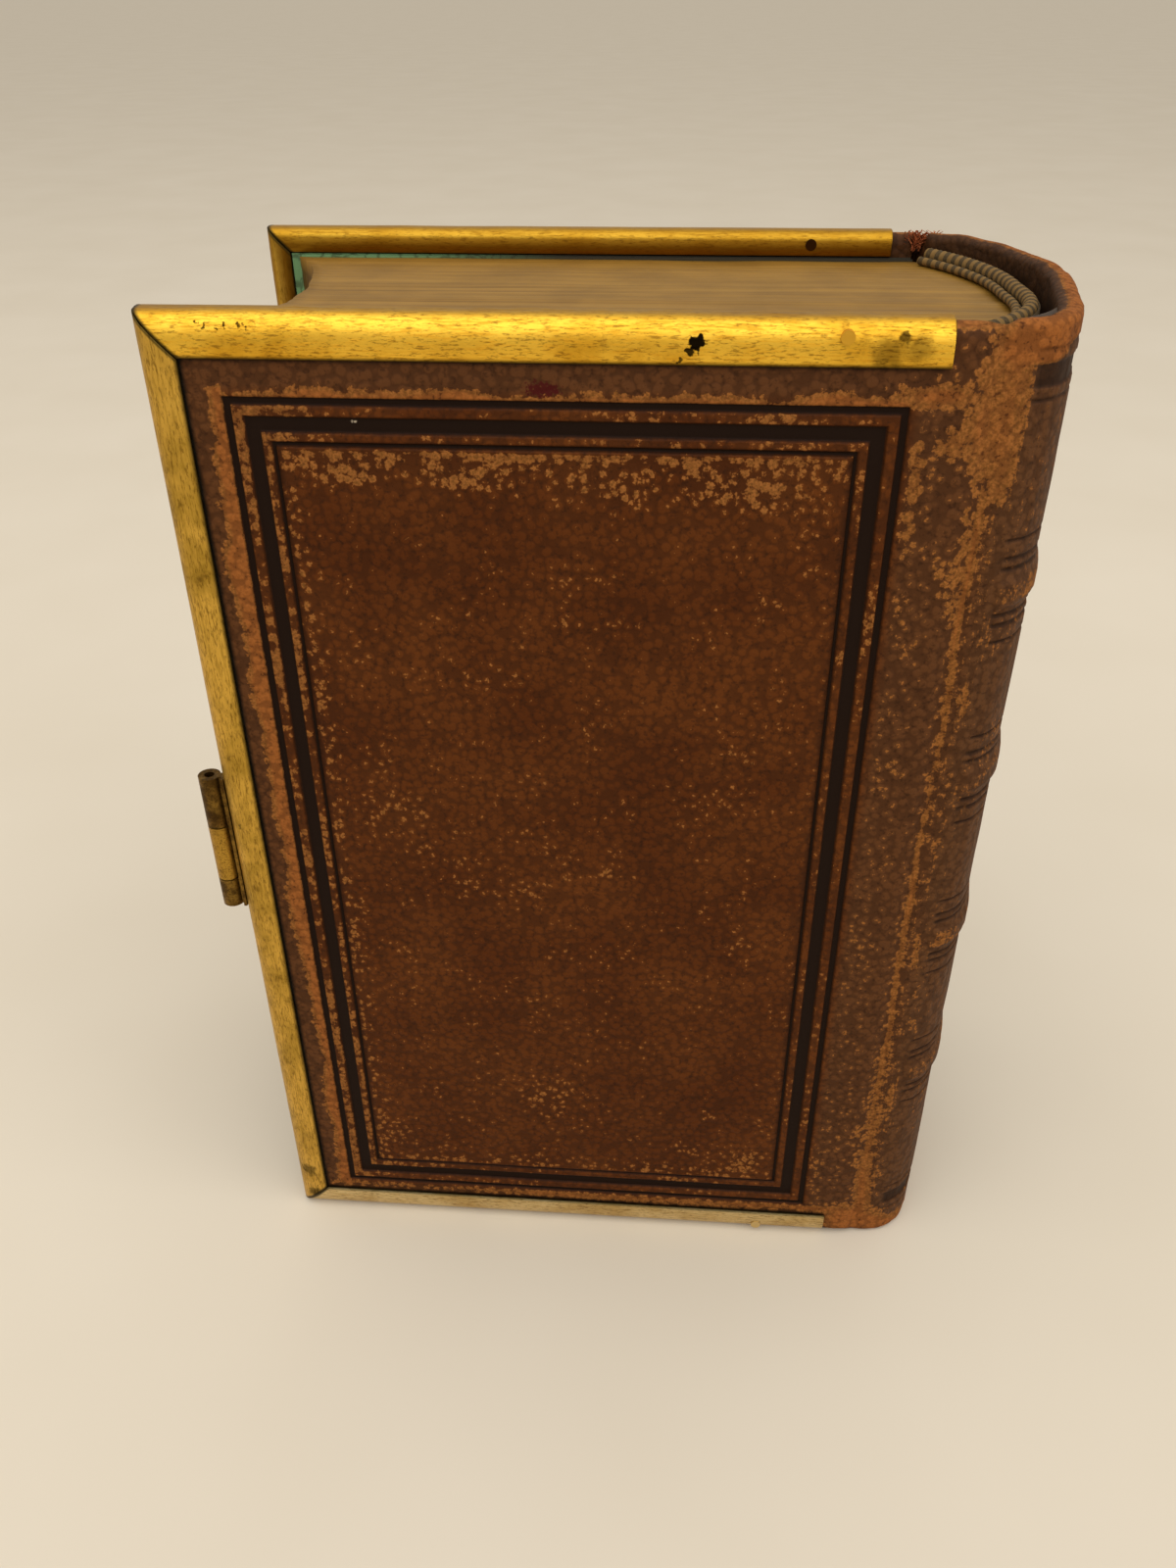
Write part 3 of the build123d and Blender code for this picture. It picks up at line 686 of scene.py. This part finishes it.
dice = np.random.default_rng(81)
joint_x, joint_y = halves[1].at(82.9)[:2]
sides, rings = 3, 7
points, faces = [], []
for _ in range(150):
    across, deep, up = dice.uniform(-1.9, 1.3), dice.uniform(0.4, 2.4), dice.uniform(127.6, 128.9)
    root = np.array([joint_x + across, joint_y - deep, up])
    lean_out = np.array([dice.uniform(-0.7, 0.7), dice.uniform(-0.6, 0.3), 1.0])
    curl, turn, tall = dice.uniform(0.3, 0.7), dice.uniform(0, 6), dice.uniform(0.8, 1.6)
    for ring in range(rings):
        t = ring / (rings - 1)
        swing = np.array([np.cos(turn + 4 * t), 0.6 * np.sin(turn + 4 * t), 0])
        middle = root + lean_out * t * tall + curl * t * swing
        middle[2] = min(middle[2], height - 0.15)
        for corner in range(sides):
            angle = corner * 2 * np.pi / sides
            points.append(middle + (0.14 - 0.08 * t) * np.array([np.cos(angle), np.sin(angle), 0]))
        if ring:
            low = len(points) - 2 * sides
            faces += [(low + c, low + (c + 1) % sides, low + sides + (c + 1) % sides, low + sides + c)
                      for c in range(sides)]
tuft = new_piece("torn_leather_fibres", np.array(points), faces, {})
finish_piece(tuft, torn_leather, "spine_leather", "text_block")

# %% [markdown]
# ## Gilt brass
# The rims are thin brass strip, drawn to a rounded section, gilded and lacquered, then rubbed by
# hands. Brass is a metal: its colour is in its reflection, so metallic is 1 and the IOR keeps its
# default. Wiping leaves fine scratches along each strip, drawn here about 0.15 mm apart so that
# they show. Lacquer gone brown and green dulls it in patches, most on the fore-edge.

# %% Rubbed gilt brass
push_reach = 1.8     # how far the edges of dark marks are pushed about, in millimetres


def gilt_brass(name, lay, bright, dull, tarnish, grime_and_shade, marks=()):
    """lay stretches the scratches along a strip; marks are dark spots: x, y, z, radius, amount."""
    material, tree = new_material(name)
    where = millimetres(tree)
    cloud = add(tree, "TexNoise", where, 1 / 7.0, 4.0, 0.6)
    patches = add(tree, "TexNoise", where, 1 / 1.6, 5.0, 0.65)
    scratch = add(tree, "TexNoise", millimetres(tree, lay), 1 / 0.3, 4.0, 0.6)
    shorter = [(v + 1.6) / 2.6 for v in lay]
    grit = add(tree, "TexNoise", millimetres(tree, shorter), 1 / 0.22, 4.0, 0.7)
    brown = total(tree, 0.0, (patches, 0.7), (cloud, 0.45))
    brown = add(tree, "MapRange", brown, 0.66 - tarnish, 0.84 - tarnish, **soft_edge)
    lines = add(tree, "MapRange", scratch, 0.48, 0.64, 0, 0.6, **soft_edge)
    edge, inside, seam_shade = stored(tree, "edge", "inside", "seam_shade")
    # The seam layer is painted shade in the open mitres and at the foot of the face beside the leather.
    colour = paint(tree, bright, (cloud, 1.0, dull, 0.38, 0.70), (brown, 0.75, grime_and_shade), (lines, 1.0, dull),
                   (grit, 0.65, grime_and_shade, 0.50, 0.64), (edge, 0.75, "#966c1c"), (inside, 0.9, "#6e470b"),
                   (seam_shade, 0.9, "#2b2410"))
    rough = total(tree, 0.42, (brown, 0.15), (lines, 0.35))
    jagged = pushed(tree, where, 0.8, push_reach, 4.0)
    for x, y, z, radius, amount in marks:
        centre = tuple(np.array([x + fore, y, z]) + push_reach / 2)
        away = add(tree, "VectorMath", jagged, centre, operation="DISTANCE")
        spot = add(tree, "MapRange", away, radius, radius * 0.75 * amount, 0, amount, **soft_edge)
        colour = paint(tree, colour, (spot, 1.0, "#1d1408"))
        rough = total(tree, rough, (spot, 0.4))
    relief = total(tree, 0.0, (scratch, 0.5), (patches, 0.5))
    bump = add(tree, "Bump", Height=relief, Strength=0.25, Distance=0.02 * mm)
    set_surface(tree, Base_Color=colour, Metallic=1.0, Roughness=rough, Normal=bump)
    return material


# %% Brass of the three strips
along_x, along_z = (9, 0.8, 0.8), (0.8, 0.8, 9)
head_marks = [
    (54.5, -25.4, 127.8, 0.95, 1.0), (53.7, -25.4, 127.0, 0.6, 0.95), (52.9, -25.4, 126.3, 0.35, 0.8),
    (73.4, -25.0, 128.4, 0.8, 0.7), (72.2, -25.4, 127.0, 2.1, 0.5), (74.9, -25.4, 127.6, 1.8, 0.45),
]
fly_specks = (6.6, 7.6, 8.7, 9.3, 10.2, 10.8, 11.5, 12.2)
head_marks += [(x, -24.9, 128.9 - 0.12 * (x % 3), 0.28, 0.8) for x in fly_specks]
fore_marks = [(1.5, -25.3, 70, 0.5, 0.5), (2.0, -25.3, 8, 1.6, 0.6), (2.5, -25.3, 3, 1.4, 0.7),
              (3.0, -25.4, 63, 0.4, 0.4)]
brass = {
    "head": gilt_brass("brass strip, gilt and rubbed, head", along_x, "#f0be40", "#d29c28", 0.0,
                       "#7a5216", head_marks),
    "tail": gilt_brass("brass strip, rubbed bright, tail", along_x, "#d8c08c", "#bfa063", 0.0,
                       "#7a5a2a"),
    "fore_edge": gilt_brass("brass strip, gilt and dulled, fore-edge", along_z, "#d4a848", "#a8842e",
                            0.03, "#6a4a16", fore_marks),
}
print("dark marks on the strips:", len(head_marks) + len(fore_marks))

# %% [markdown]
# ## The rims
# Each rim is one closed section carried along the cover's edge: the flange on the inside, a round
# turn over the edge, and a slightly crowned face on the outside. The three strips of a cover
# meet in open mitres, so each row of the section starts later the further it lies from the
# edge. Long shallow dents and a little waviness keep the strip from looking machined.

# %% Section of a rim
def arc(centre, radius, start, end, count=7):
    turn = np.radians(np.linspace(start, end, count))
    return [(centre[0] + radius * np.cos(a), centre[1] + radius * np.sin(a)) for a in turn]


sheet, inner_roll, outer_roll = 0.45, 1.2, 1.7
flange_width, blunt = 2.9, 0.08
inner_arc, outer_arc = inner_roll - sheet, 1.25
rim_outline = [(flange_width, flange + sheet), (flange_width, flange + blunt),
               (flange_width - blunt, flange), (2.0, flange)]
rim_outline += arc((inner_roll, flange + inner_roll), inner_roll, 270, 180)
edge_level = flange + inner_roll + 0.6
for share in np.linspace(0, 1, 16) ** 1.5:
    bulge = (1 - (1 - share) ** 2.5) ** (1 / 2.5)
    swell = (crest - 0.12 - edge_level) * bulge - 0.15 * share**4
    rim_outline.append((rim_width * share, edge_level + swell))
bed = leather_face + 0.02
rim_outline += [(rim_width, crest - 0.45), (rim_width, bed), (outer_roll, bed)]
rim_outline += arc((outer_roll, leather_face - outer_arc), outer_arc, 90, 180, 5)
rim_outline += arc((inner_roll, flange + sheet + inner_arc), inner_arc, 180, 270, 5)
rim_outline = np.array(rim_outline)
from_rim_edge, outward_level = rim_outline.T
edge_mask = soft((1.3 - from_rim_edge) / 0.9) * soft((edge_level + 1.6 - outward_level) / 1.2)
flange_mask = soft((flange + 0.5 - outward_level) / 0.3) * soft((from_rim_edge - 1.0) / 0.4)
print("a rim's section has", len(rim_outline), "points")


# %% Carry the section along each edge
rim_seeds = {"head": 41, "tail": 51, "fore_edge": 61}
open_mitre = 0.12


def rim_strip(name, where, side):
    """One strip of rim: where is head, tail or fore_edge."""
    u, v = from_rim_edge[None, :], outward_level[None, :]
    length = height if where == "fore_edge" else rim_stop
    ends = np.array([0, 0.002, 0.004, 0.007])
    rows = np.concatenate([ends, np.linspace(0.012, 0.988, 146), 1 - ends[::-1]])[:, None]
    start = u + open_mitre
    stop = length - u - open_mitre if where == "fore_edge" else length
    along = start + (stop - start) * rows
    seed = rim_seeds[where] + (side > 0)
    outer = soft((v - leather_face - 0.1) / 0.4) * soft((rim_width - u) / 0.6)
    dent = 0.045 * wander(along, 0, 9, seed) + 0.03 * wander(along, 0, 2.7, seed + 5) - 0.03
    wave = 0.05 * np.abs(wander(along, 0, 12, seed + 9))
    v = v + np.minimum(dent, 0) * outer
    u = u + wave * soft((0.6 - u) / 0.6)
    points = {
        "head": (along, side * v, height - u),
        "tail": (along, side * v, u),
        "fore_edge": (u, side * v, along),
    }[where]
    # the seam mask places painted shade in the open mitres and at the foot of the face beside the leather
    from_mitre = np.minimum(along - start, stop - along) if where == "fore_edge" else along - start
    outer_side = outward_level > leather_face
    under_face = soft((u - rim_width + 0.3) / 0.25) * outer_side
    masks = {
        "edge": edge_mask + 0 * along,
        "inside": flange_mask + 0 * along,
        "seam_shade": np.maximum(soft((0.5 - from_mitre) / 0.35), under_face),
    }
    return surface(name, stacked(*points), (0, side, 0), ring=True, caps=True, masks=masks)


for side, half in ((-1, "back"), (1, "front")):
    for where in ("head", "tail", "fore_edge"):
        strip = rim_strip(f"{half}_{where}_rim", where, side)
        finish_piece(strip, brass[where], "gilt_brass", f"{half}_cover", f"{half}_rim_{where}")

# %% [markdown]
# ## The gilded leaves
# The leaves were rounded, clamped and gilded at the head, the tail and the hollow fore-edge. A
# century of use has dulled the gold to olive brown and let the sections rise and fall a little.
# The block is a table of points again: each row is one leaf, running from the hollow
# fore-edge to the round back, so the fine lines of the leaves follow the real sheets.

# %% The leaf block
leaf_low, leaf_high = place("text_block")
back_edge = place("back_free_endpaper")[1][0]
leaf_face = leaf_high[1]
rounding = leaf_high[0] - back_edge
back_radius = (leaf_face**2 + rounding**2) / (2 * rounding)
hollow = 6.0
fore_radius = (leaf_face**2 + hollow**2) / (2 * hollow)


def lean(y):
    """How far the back of the leaves has been pushed out on its back-cover half."""
    return 1.2 * np.sin(np.pi * np.clip(-y / leaf_face, 0, 1)) ** 1.5


def leaf_ends(y):
    """Where a leaf starts and stops, from the fore-edge hollow to the rounded back."""
    start = leaf_low[0] + hollow - fore_radius + np.sqrt(fore_radius**2 - y**2)
    stop = leaf_high[0] - back_radius + np.sqrt(back_radius**2 - y**2)
    return start, stop + lean(y)


def leaf_block():
    """The block of leaves: head edge, round back, tail edge and hollow fore-edge, leaf by leaf."""
    across = np.linspace(-leaf_face, leaf_face, 231)[:, None]
    rise = -0.10 + 0.10 * wander(across, 0, 2.3, 71) - 0.06 * np.abs(wander(across, 0, 0.7, 72))
    push = 0.22 * np.abs(wander(across, 0, 2.3, 73)) + 0.12 * np.abs(wander(across, 0, 0.7, 74))
    start, stop = leaf_ends(across)
    start = start + push
    low, high = leaf_low[2] - rise, leaf_high[2] + rise
    deep = np.linspace(0, 1, 46)[None, :]
    up = np.linspace(0, 1, 70)[None, :]
    wave = 0.07 * wander(across, deep * 80, 9, 75) - 0.07
    ripple = 0.10 * np.abs(wander(across, up * 120, 11, 76))
    head = stacked(start + (stop - start) * deep, across, high + wave * (deep > 0))
    back = stacked(stop - 0.02, across, high + (low - high) * up)
    tail = stacked(stop + (start - stop) * deep, across, low)
    front = stacked(start + ripple * (up > 0) * (up < 1), across, low + (high - low) * up)
    points = np.concatenate([run[:, :-1] for run in (head, back, tail, front)], axis=1)
    # fore_edge marks the hollow fore-edge face, which the material darkens as painted shade
    fore_edge = np.zeros(points.shape[:2])
    fore_edge[:, 1 - up.size:] = 1
    return surface("gilded_leaves", points, (0, 0, 1), ring=True, caps=True, masks={"fore_edge": fore_edge})


print(f"leaves are {2 * leaf_face:.1f} mm thick, rounded by {rounding:.1f} mm")

# %% [markdown]
# Gold leaf on paper edges is a metal film on a rough, fibrous ground. Here most of it is soiled
# and rubbed thin, so the surface is only partly metallic, with a fairly high roughness. The
# edges of single leaves are about 0.08 mm apart, too fine to show, so the lines are drawn
# about 0.4 mm apart.

# %% Dulled gilt edges
gilt_edge, tree = new_material("paper edges, gilded and dulled")
leaf_lines = add(tree, "TexNoise", millimetres(tree, (60, 0.38, 60), "rest"), 1.0, 4.0, 0.7)
long_lines = add(tree, "TexNoise", millimetres(tree, (40, 1.3, 40), "rest"), 1.0, 3.0, 0.55)
soil = add(tree, "TexNoise", millimetres(tree, layer="rest"), 1 / 9.0, 4.0, 0.6)
(fore_edge,) = stored(tree, "fore_edge")
# The fore_edge layer is painted shade: the hollow fore-edge face is darkened.
colour = paint(tree, "#98702a", (soil, 1.0, "#886323", 0.35, 0.70), (leaf_lines, 0.6, "#64471a", 0.46, 0.66),
               (long_lines, 0.3, "#b48a3c", 0.50, 0.75), (fore_edge, 0.75, "#3c290c"))
ridges = total(tree, 0.0, (leaf_lines, 0.6), (long_lines, 0.4))
bump = add(tree, "Bump", Height=ridges, Strength=0.6, Distance=0.06 * mm)
set_surface(tree, Base_Color=colour, Metallic=0.45, Roughness=0.5, Specular_IOR_Level=0.2, Normal=bump)
finish_piece(leaf_block(), gilt_edge, "gilt_leaves", "text_block", "text_block")

# %% [markdown]
# ## Headbands
# A headband is a cord wound with two colours of silk and sewn to the end of the leaves, with a
# smaller bead in front of it. Each is a tube carried along the rounded back; its radius
# swells and shrinks with every turn of silk, and the same count of turns sets the stripes.

# %% Striped silk
silk, tree = new_material("silk thread, wound and faded")
(turn_count,) = stored(tree, "turns")
wave = add(tree, "Math", total(tree, 0.0, (turn_count, 2 * np.pi)), operation="SINE")
thread = add(tree, "TexNoise", millimetres(tree, layer="rest"), 1 / 0.25, 3.0, 0.55)
colour = paint(tree, "#6e4f24", (wave, 1.0, "#281606", -0.25, 0.25), (thread, 0.3, "#8f7c50"))
bump = add(tree, "Bump", Height=thread, Strength=0.5, Distance=0.05 * mm)
set_surface(tree, Base_Color=colour, Roughness=0.8, IOR=1.5, Specular_IOR_Level=0.2, Normal=bump)
print("silk:", len(tree.nodes), "nodes")

# %% Headbands at the head and the tail
back_centre = leaf_high[0] - back_radius
band_reach = place("head_band")[1][0] - back_centre
half_angle = np.radians(37.6)
turn_pitch = 0.75
beads = {"": (0.95, 1.0, 0.8), "_front_bead": (2.25, 0.45, 0.5)}     # inset, rise, radius


def round_back(angles, out, level):
    """Points on an arc round the back of the leaves, leaned over like them."""
    points = stacked(back_centre + out * np.cos(angles), out * np.sin(angles), level)
    points[..., 0] += lean(points[..., 1])
    return points


def headband(name, end, node):
    """Bead, smaller bead and cloth tab, at the head (end 1) or the tail (end -1)."""
    edge = leaf_high[2] if end > 0 else leaf_low[2]
    angles = np.linspace(-half_angle, half_angle, 420)[:, None]
    around = np.linspace(0, 2 * np.pi, 15)[:-1][None, :]
    pieces = []
    for part, (inset, up, radius) in beads.items():
        count = (band_reach - inset) * (angles + half_angle) / turn_pitch
        winding = radius * (1 - 0.09 * np.abs(np.sin(np.pi * count)))
        out = band_reach - inset + winding * np.cos(around)
        points = round_back(angles, out, edge + end * (up + winding * np.sin(around)))
        turns = np.broadcast_to(count / 2, out.shape)
        pieces.append(surface(name + part, points, (0, 0, 1), ring=True, caps=True, masks={"turns": turns}))
    angles = np.linspace(-half_angle, half_angle, 60)[:, None]
    top, foot, inner = edge + end * 1.0, edge - end * 8.0, band_reach - 0.3
    loop = np.array([(inner, foot), (band_reach, foot), (band_reach, top), (inner, top)])
    points = round_back(angles, loop[None, :, 0], loop[None, :, 1])
    turns = np.full(points.shape[:2], 0.2)
    tab = surface(name + "_tab", points, (1, 0, 0), ring=True, caps=True, masks={"turns": turns})
    for piece in (pieces[1], tab):
        finish_piece(piece, silk, "headband_silk", "text_block")
    finish_piece(pieces[0], silk, "headband_silk", "text_block", node)


headband("head_band_silk", 1, "head_band")
headband("tail_band_silk", -1, "tail_band")

# %% [markdown]
# ## Paper, board and cloth
# The pieces below keep their CAD shape, because a sheet of paper or a board is as plain as its
# solid. The endpapers are green paper with a printed marbled pattern of darker veins. The
# board is grey-brown pressed pulp, and the card, cloth and cords show fibres when looked at from
# the head of the hollow back.

# %% Green marbled paper
green_paper, tree = new_material("paper, printed green and marbled")
where = millimetres(tree)
swirled = pushed(tree, where, 4.0, 3.0, 3.0)
veins = add(tree, "TexVoronoi", swirled, 1 / 2.2, feature="DISTANCE_TO_EDGE")
foxing = add(tree, "TexNoise", where, 1 / 12.0, 3.0, 0.55)
x, z = (add(tree, "SeparateXYZ", where, out=axis) for axis in "XZ")
# Painted shade: the paper turns near black at the head edge, away from the fore-edge, deep in the gap
# between rim and leaves.
head_edge = add(tree, "MapRange", z, 125.2, 126.4, **soft_edge)
inner_part = add(tree, "MapRange", x, fore + 12, fore + 40, **soft_edge)
gap_shade = total(tree, 0.0, (head_edge, inner_part))
colour = paint(tree, "#5c8a5e", (veins, 1.0, "#2c5236", 0.10, 0.02), (foxing, 0.4, "#7d8a52"),
               (gap_shade, 1.0, "#2b2412"))
set_surface(tree, Base_Color=colour, Roughness=0.8, IOR=1.5)
print("green paper:", len(tree.nodes), "nodes")


# %% Fibrous materials
def fibrous(name, first, second, size, roughness=0.85):
    """Pressed or woven fibres: two close colours mixed by noise of the fibre's size."""
    material, tree = new_material(name)
    fibres = add(tree, "TexNoise", millimetres(tree), 1 / size, 4.0, 0.65)
    colour = paint(tree, first, (fibres, 1.0, second, 0.35, 0.65))
    bump = add(tree, "Bump", Height=fibres, Strength=0.4, Distance=0.08 * mm)
    set_surface(tree, Base_Color=colour, Roughness=roughness, IOR=1.5, Normal=bump)
    return material


millboard = fibrous("millboard, pressed pulp", "#5c4f3c", "#75664e", 0.8)
card = fibrous("card, brown, lining the hollow back", "#2e2012", "#3f2e1c", 0.9)
lining = fibrous("cotton lining cloth, glued down", "#8f8266", "#a59878", 0.5)
hemp = fibrous("hemp cord, twisted", "#8a7650", "#a8946a", 0.4)
print("fibrous:", [material.name for material in (millboard, card, lining, hemp)])

# %% [markdown]
# ## Small brass parts
# The clasp is cast and sheet brass whose gilding has gone, so it has tarnished brown. The pins
# of the rims were filed flush with the face, where they shine like the strip around them, and
# stayed brown inside. The pieces keep their CAD shape and only get their material here.

# %% Tarnished brass of the clasp, and the pins
tarnished = gilt_brass("brass, cast, tarnished brown", (1.5, 1.5, 1.5), "#8a6a2c", "#6a4c20", 0.16,
                       "#33220e")
clasp_brass = gilt_brass("brass sheet, gilt, worn clasp", (0.8, 8, 0.8), "#b98f38", "#8f6c2a", 0.08,
                         "#4a3214")

pin_brass, tree = new_material("brass pins, filed flush outside, brown inside")
y, z = (add(tree, "SeparateXYZ", millimetres(tree), out=axis) for axis in "YZ")
depth = add(tree, "Math", y, operation="ABSOLUTE")
filed = paint(tree, "#d0b67e", (z, 1.0, "#d4a236", 60, 70))
colour = paint(tree, "#3a2410", (depth, 1.0, filed, 23.5, 24.0))
set_surface(tree, Base_Color=colour, Metallic=1.0, Roughness=0.42)

covering = {
    green_paper: ["back_free_endpaper", "front_free_endpaper", "back_pastedown", "front_pastedown"],
    millboard: ["back_board", "front_board"],
    card: ["spine_stiffener"],
    lining: ["spine_lining"],
    hemp: ["sewing_cords"],
    pin_brass: ["back_rim_pins", "front_rim_pins"],
    tarnished: ["clasp_stud", "clasp_hinge_leaf", "clasp_hinge_pin"],
    clasp_brass: ["clasp_arm"],
}
for material, names in covering.items():
    for name in names:
        frame["nodes"][name].data.materials.clear()
        frame["nodes"][name].data.materials.append(material)
print("CAD pieces given a material:", sum(len(names) for names in covering.values()))

# %% [markdown]
# ## Floor, light and camera
# A plain pale floor keeps the soft shadow that grounds the book. One large softbox hangs above
# and in front, a weaker one fills the spine side, and a pale world evens the rest. Polished
# metal shows its surroundings, so the lamps are wide: they give the rims a broad band of light.
# The camera stands close, above the head of the book, looking down at the back cover.

# %% Floor
floor_material, tree = new_material("floor, matt and pale")
tint = add(tree, "TexNoise", millimetres(tree), 1 / 60.0, 2.0, 0.55)
set_surface(tree, Base_Color=paint(tree, "#d3c8b6", (tint, 1.0, "#cbbfab")), Roughness=0.9, IOR=1.45)
floor_mesh = bpy.data.meshes.new("floor")
shape = bmesh.new()
bmesh.ops.create_grid(shape, x_segments=1, y_segments=1, size=14)
shape.to_mesh(floor_mesh)
shape.free()
floor = bpy.data.objects.new("floor", floor_mesh)
floor_mesh.materials.append(floor_material)
bpy.context.scene.collection.objects.link(floor)
print("floor:", tuple(floor.dimensions), "m")


# %% Lamps and world
def softbox(name, place_m, aim_m, size, watts):
    lamp = bpy.data.lights.new(name, "AREA")
    lamp.shape = "RECTANGLE"
    lamp.size, lamp.size_y = size
    lamp.energy = watts
    holder = bpy.data.objects.new(name, lamp)
    holder.location = place_m
    holder.rotation_euler = (Vector(aim_m) - Vector(place_m)).to_track_quat("-Z", "Y").to_euler()
    bpy.context.scene.collection.objects.link(holder)


softbox("key softbox", (-0.1, -0.45, 0.9), (0, 0, 0.06), (1.8, 1.3), 9)
softbox("spine fill", (0.8, -0.3, 0.4), (0.03, 0, 0.07), (0.5, 0.5), 1.5)
world = bpy.data.worlds.new("pale room")
world.use_nodes = True
tree = world.node_tree
tree.nodes.clear()
rise = add(tree, "SeparateXYZ", add(tree, "TexCoord", out="Generated"), out="Z")
sky = paint(tree, "#a9a49b", (rise, 1.0, "#fbf8f2", 0.0, 0.9))
add(tree, "OutputWorld", add(tree, "Background", sky, 0.97))
bpy.context.scene.world = world
bpy.context.scene.view_settings.view_transform = "Standard"
print("lamps:", [lamp.name for lamp in bpy.data.lights])

# %% Camera
camera_data = bpy.data.cameras.new("camera")
camera_data.sensor_fit = "HORIZONTAL"
camera_data.sensor_width = 36
camera_data.lens = 38.14
camera_data.clip_start = 0.01
camera = bpy.data.objects.new("camera", camera_data)
look = Vector((-0.06563, 0.83425, -0.54742)).normalized()
right = look.cross(Vector((-0.03588, 0.54632, 0.83687))).normalized()
turn = Matrix((right, right.cross(look), -look)).transposed().to_4x4()
turn.translation = Vector((8.48, -145.05, 156.94)) * mm
camera.matrix_world = turn
bpy.context.scene.collection.objects.link(camera)
bpy.context.scene.camera = camera
print("camera at", [round(float(v) / mm, 1) for v in turn.translation], "mm")
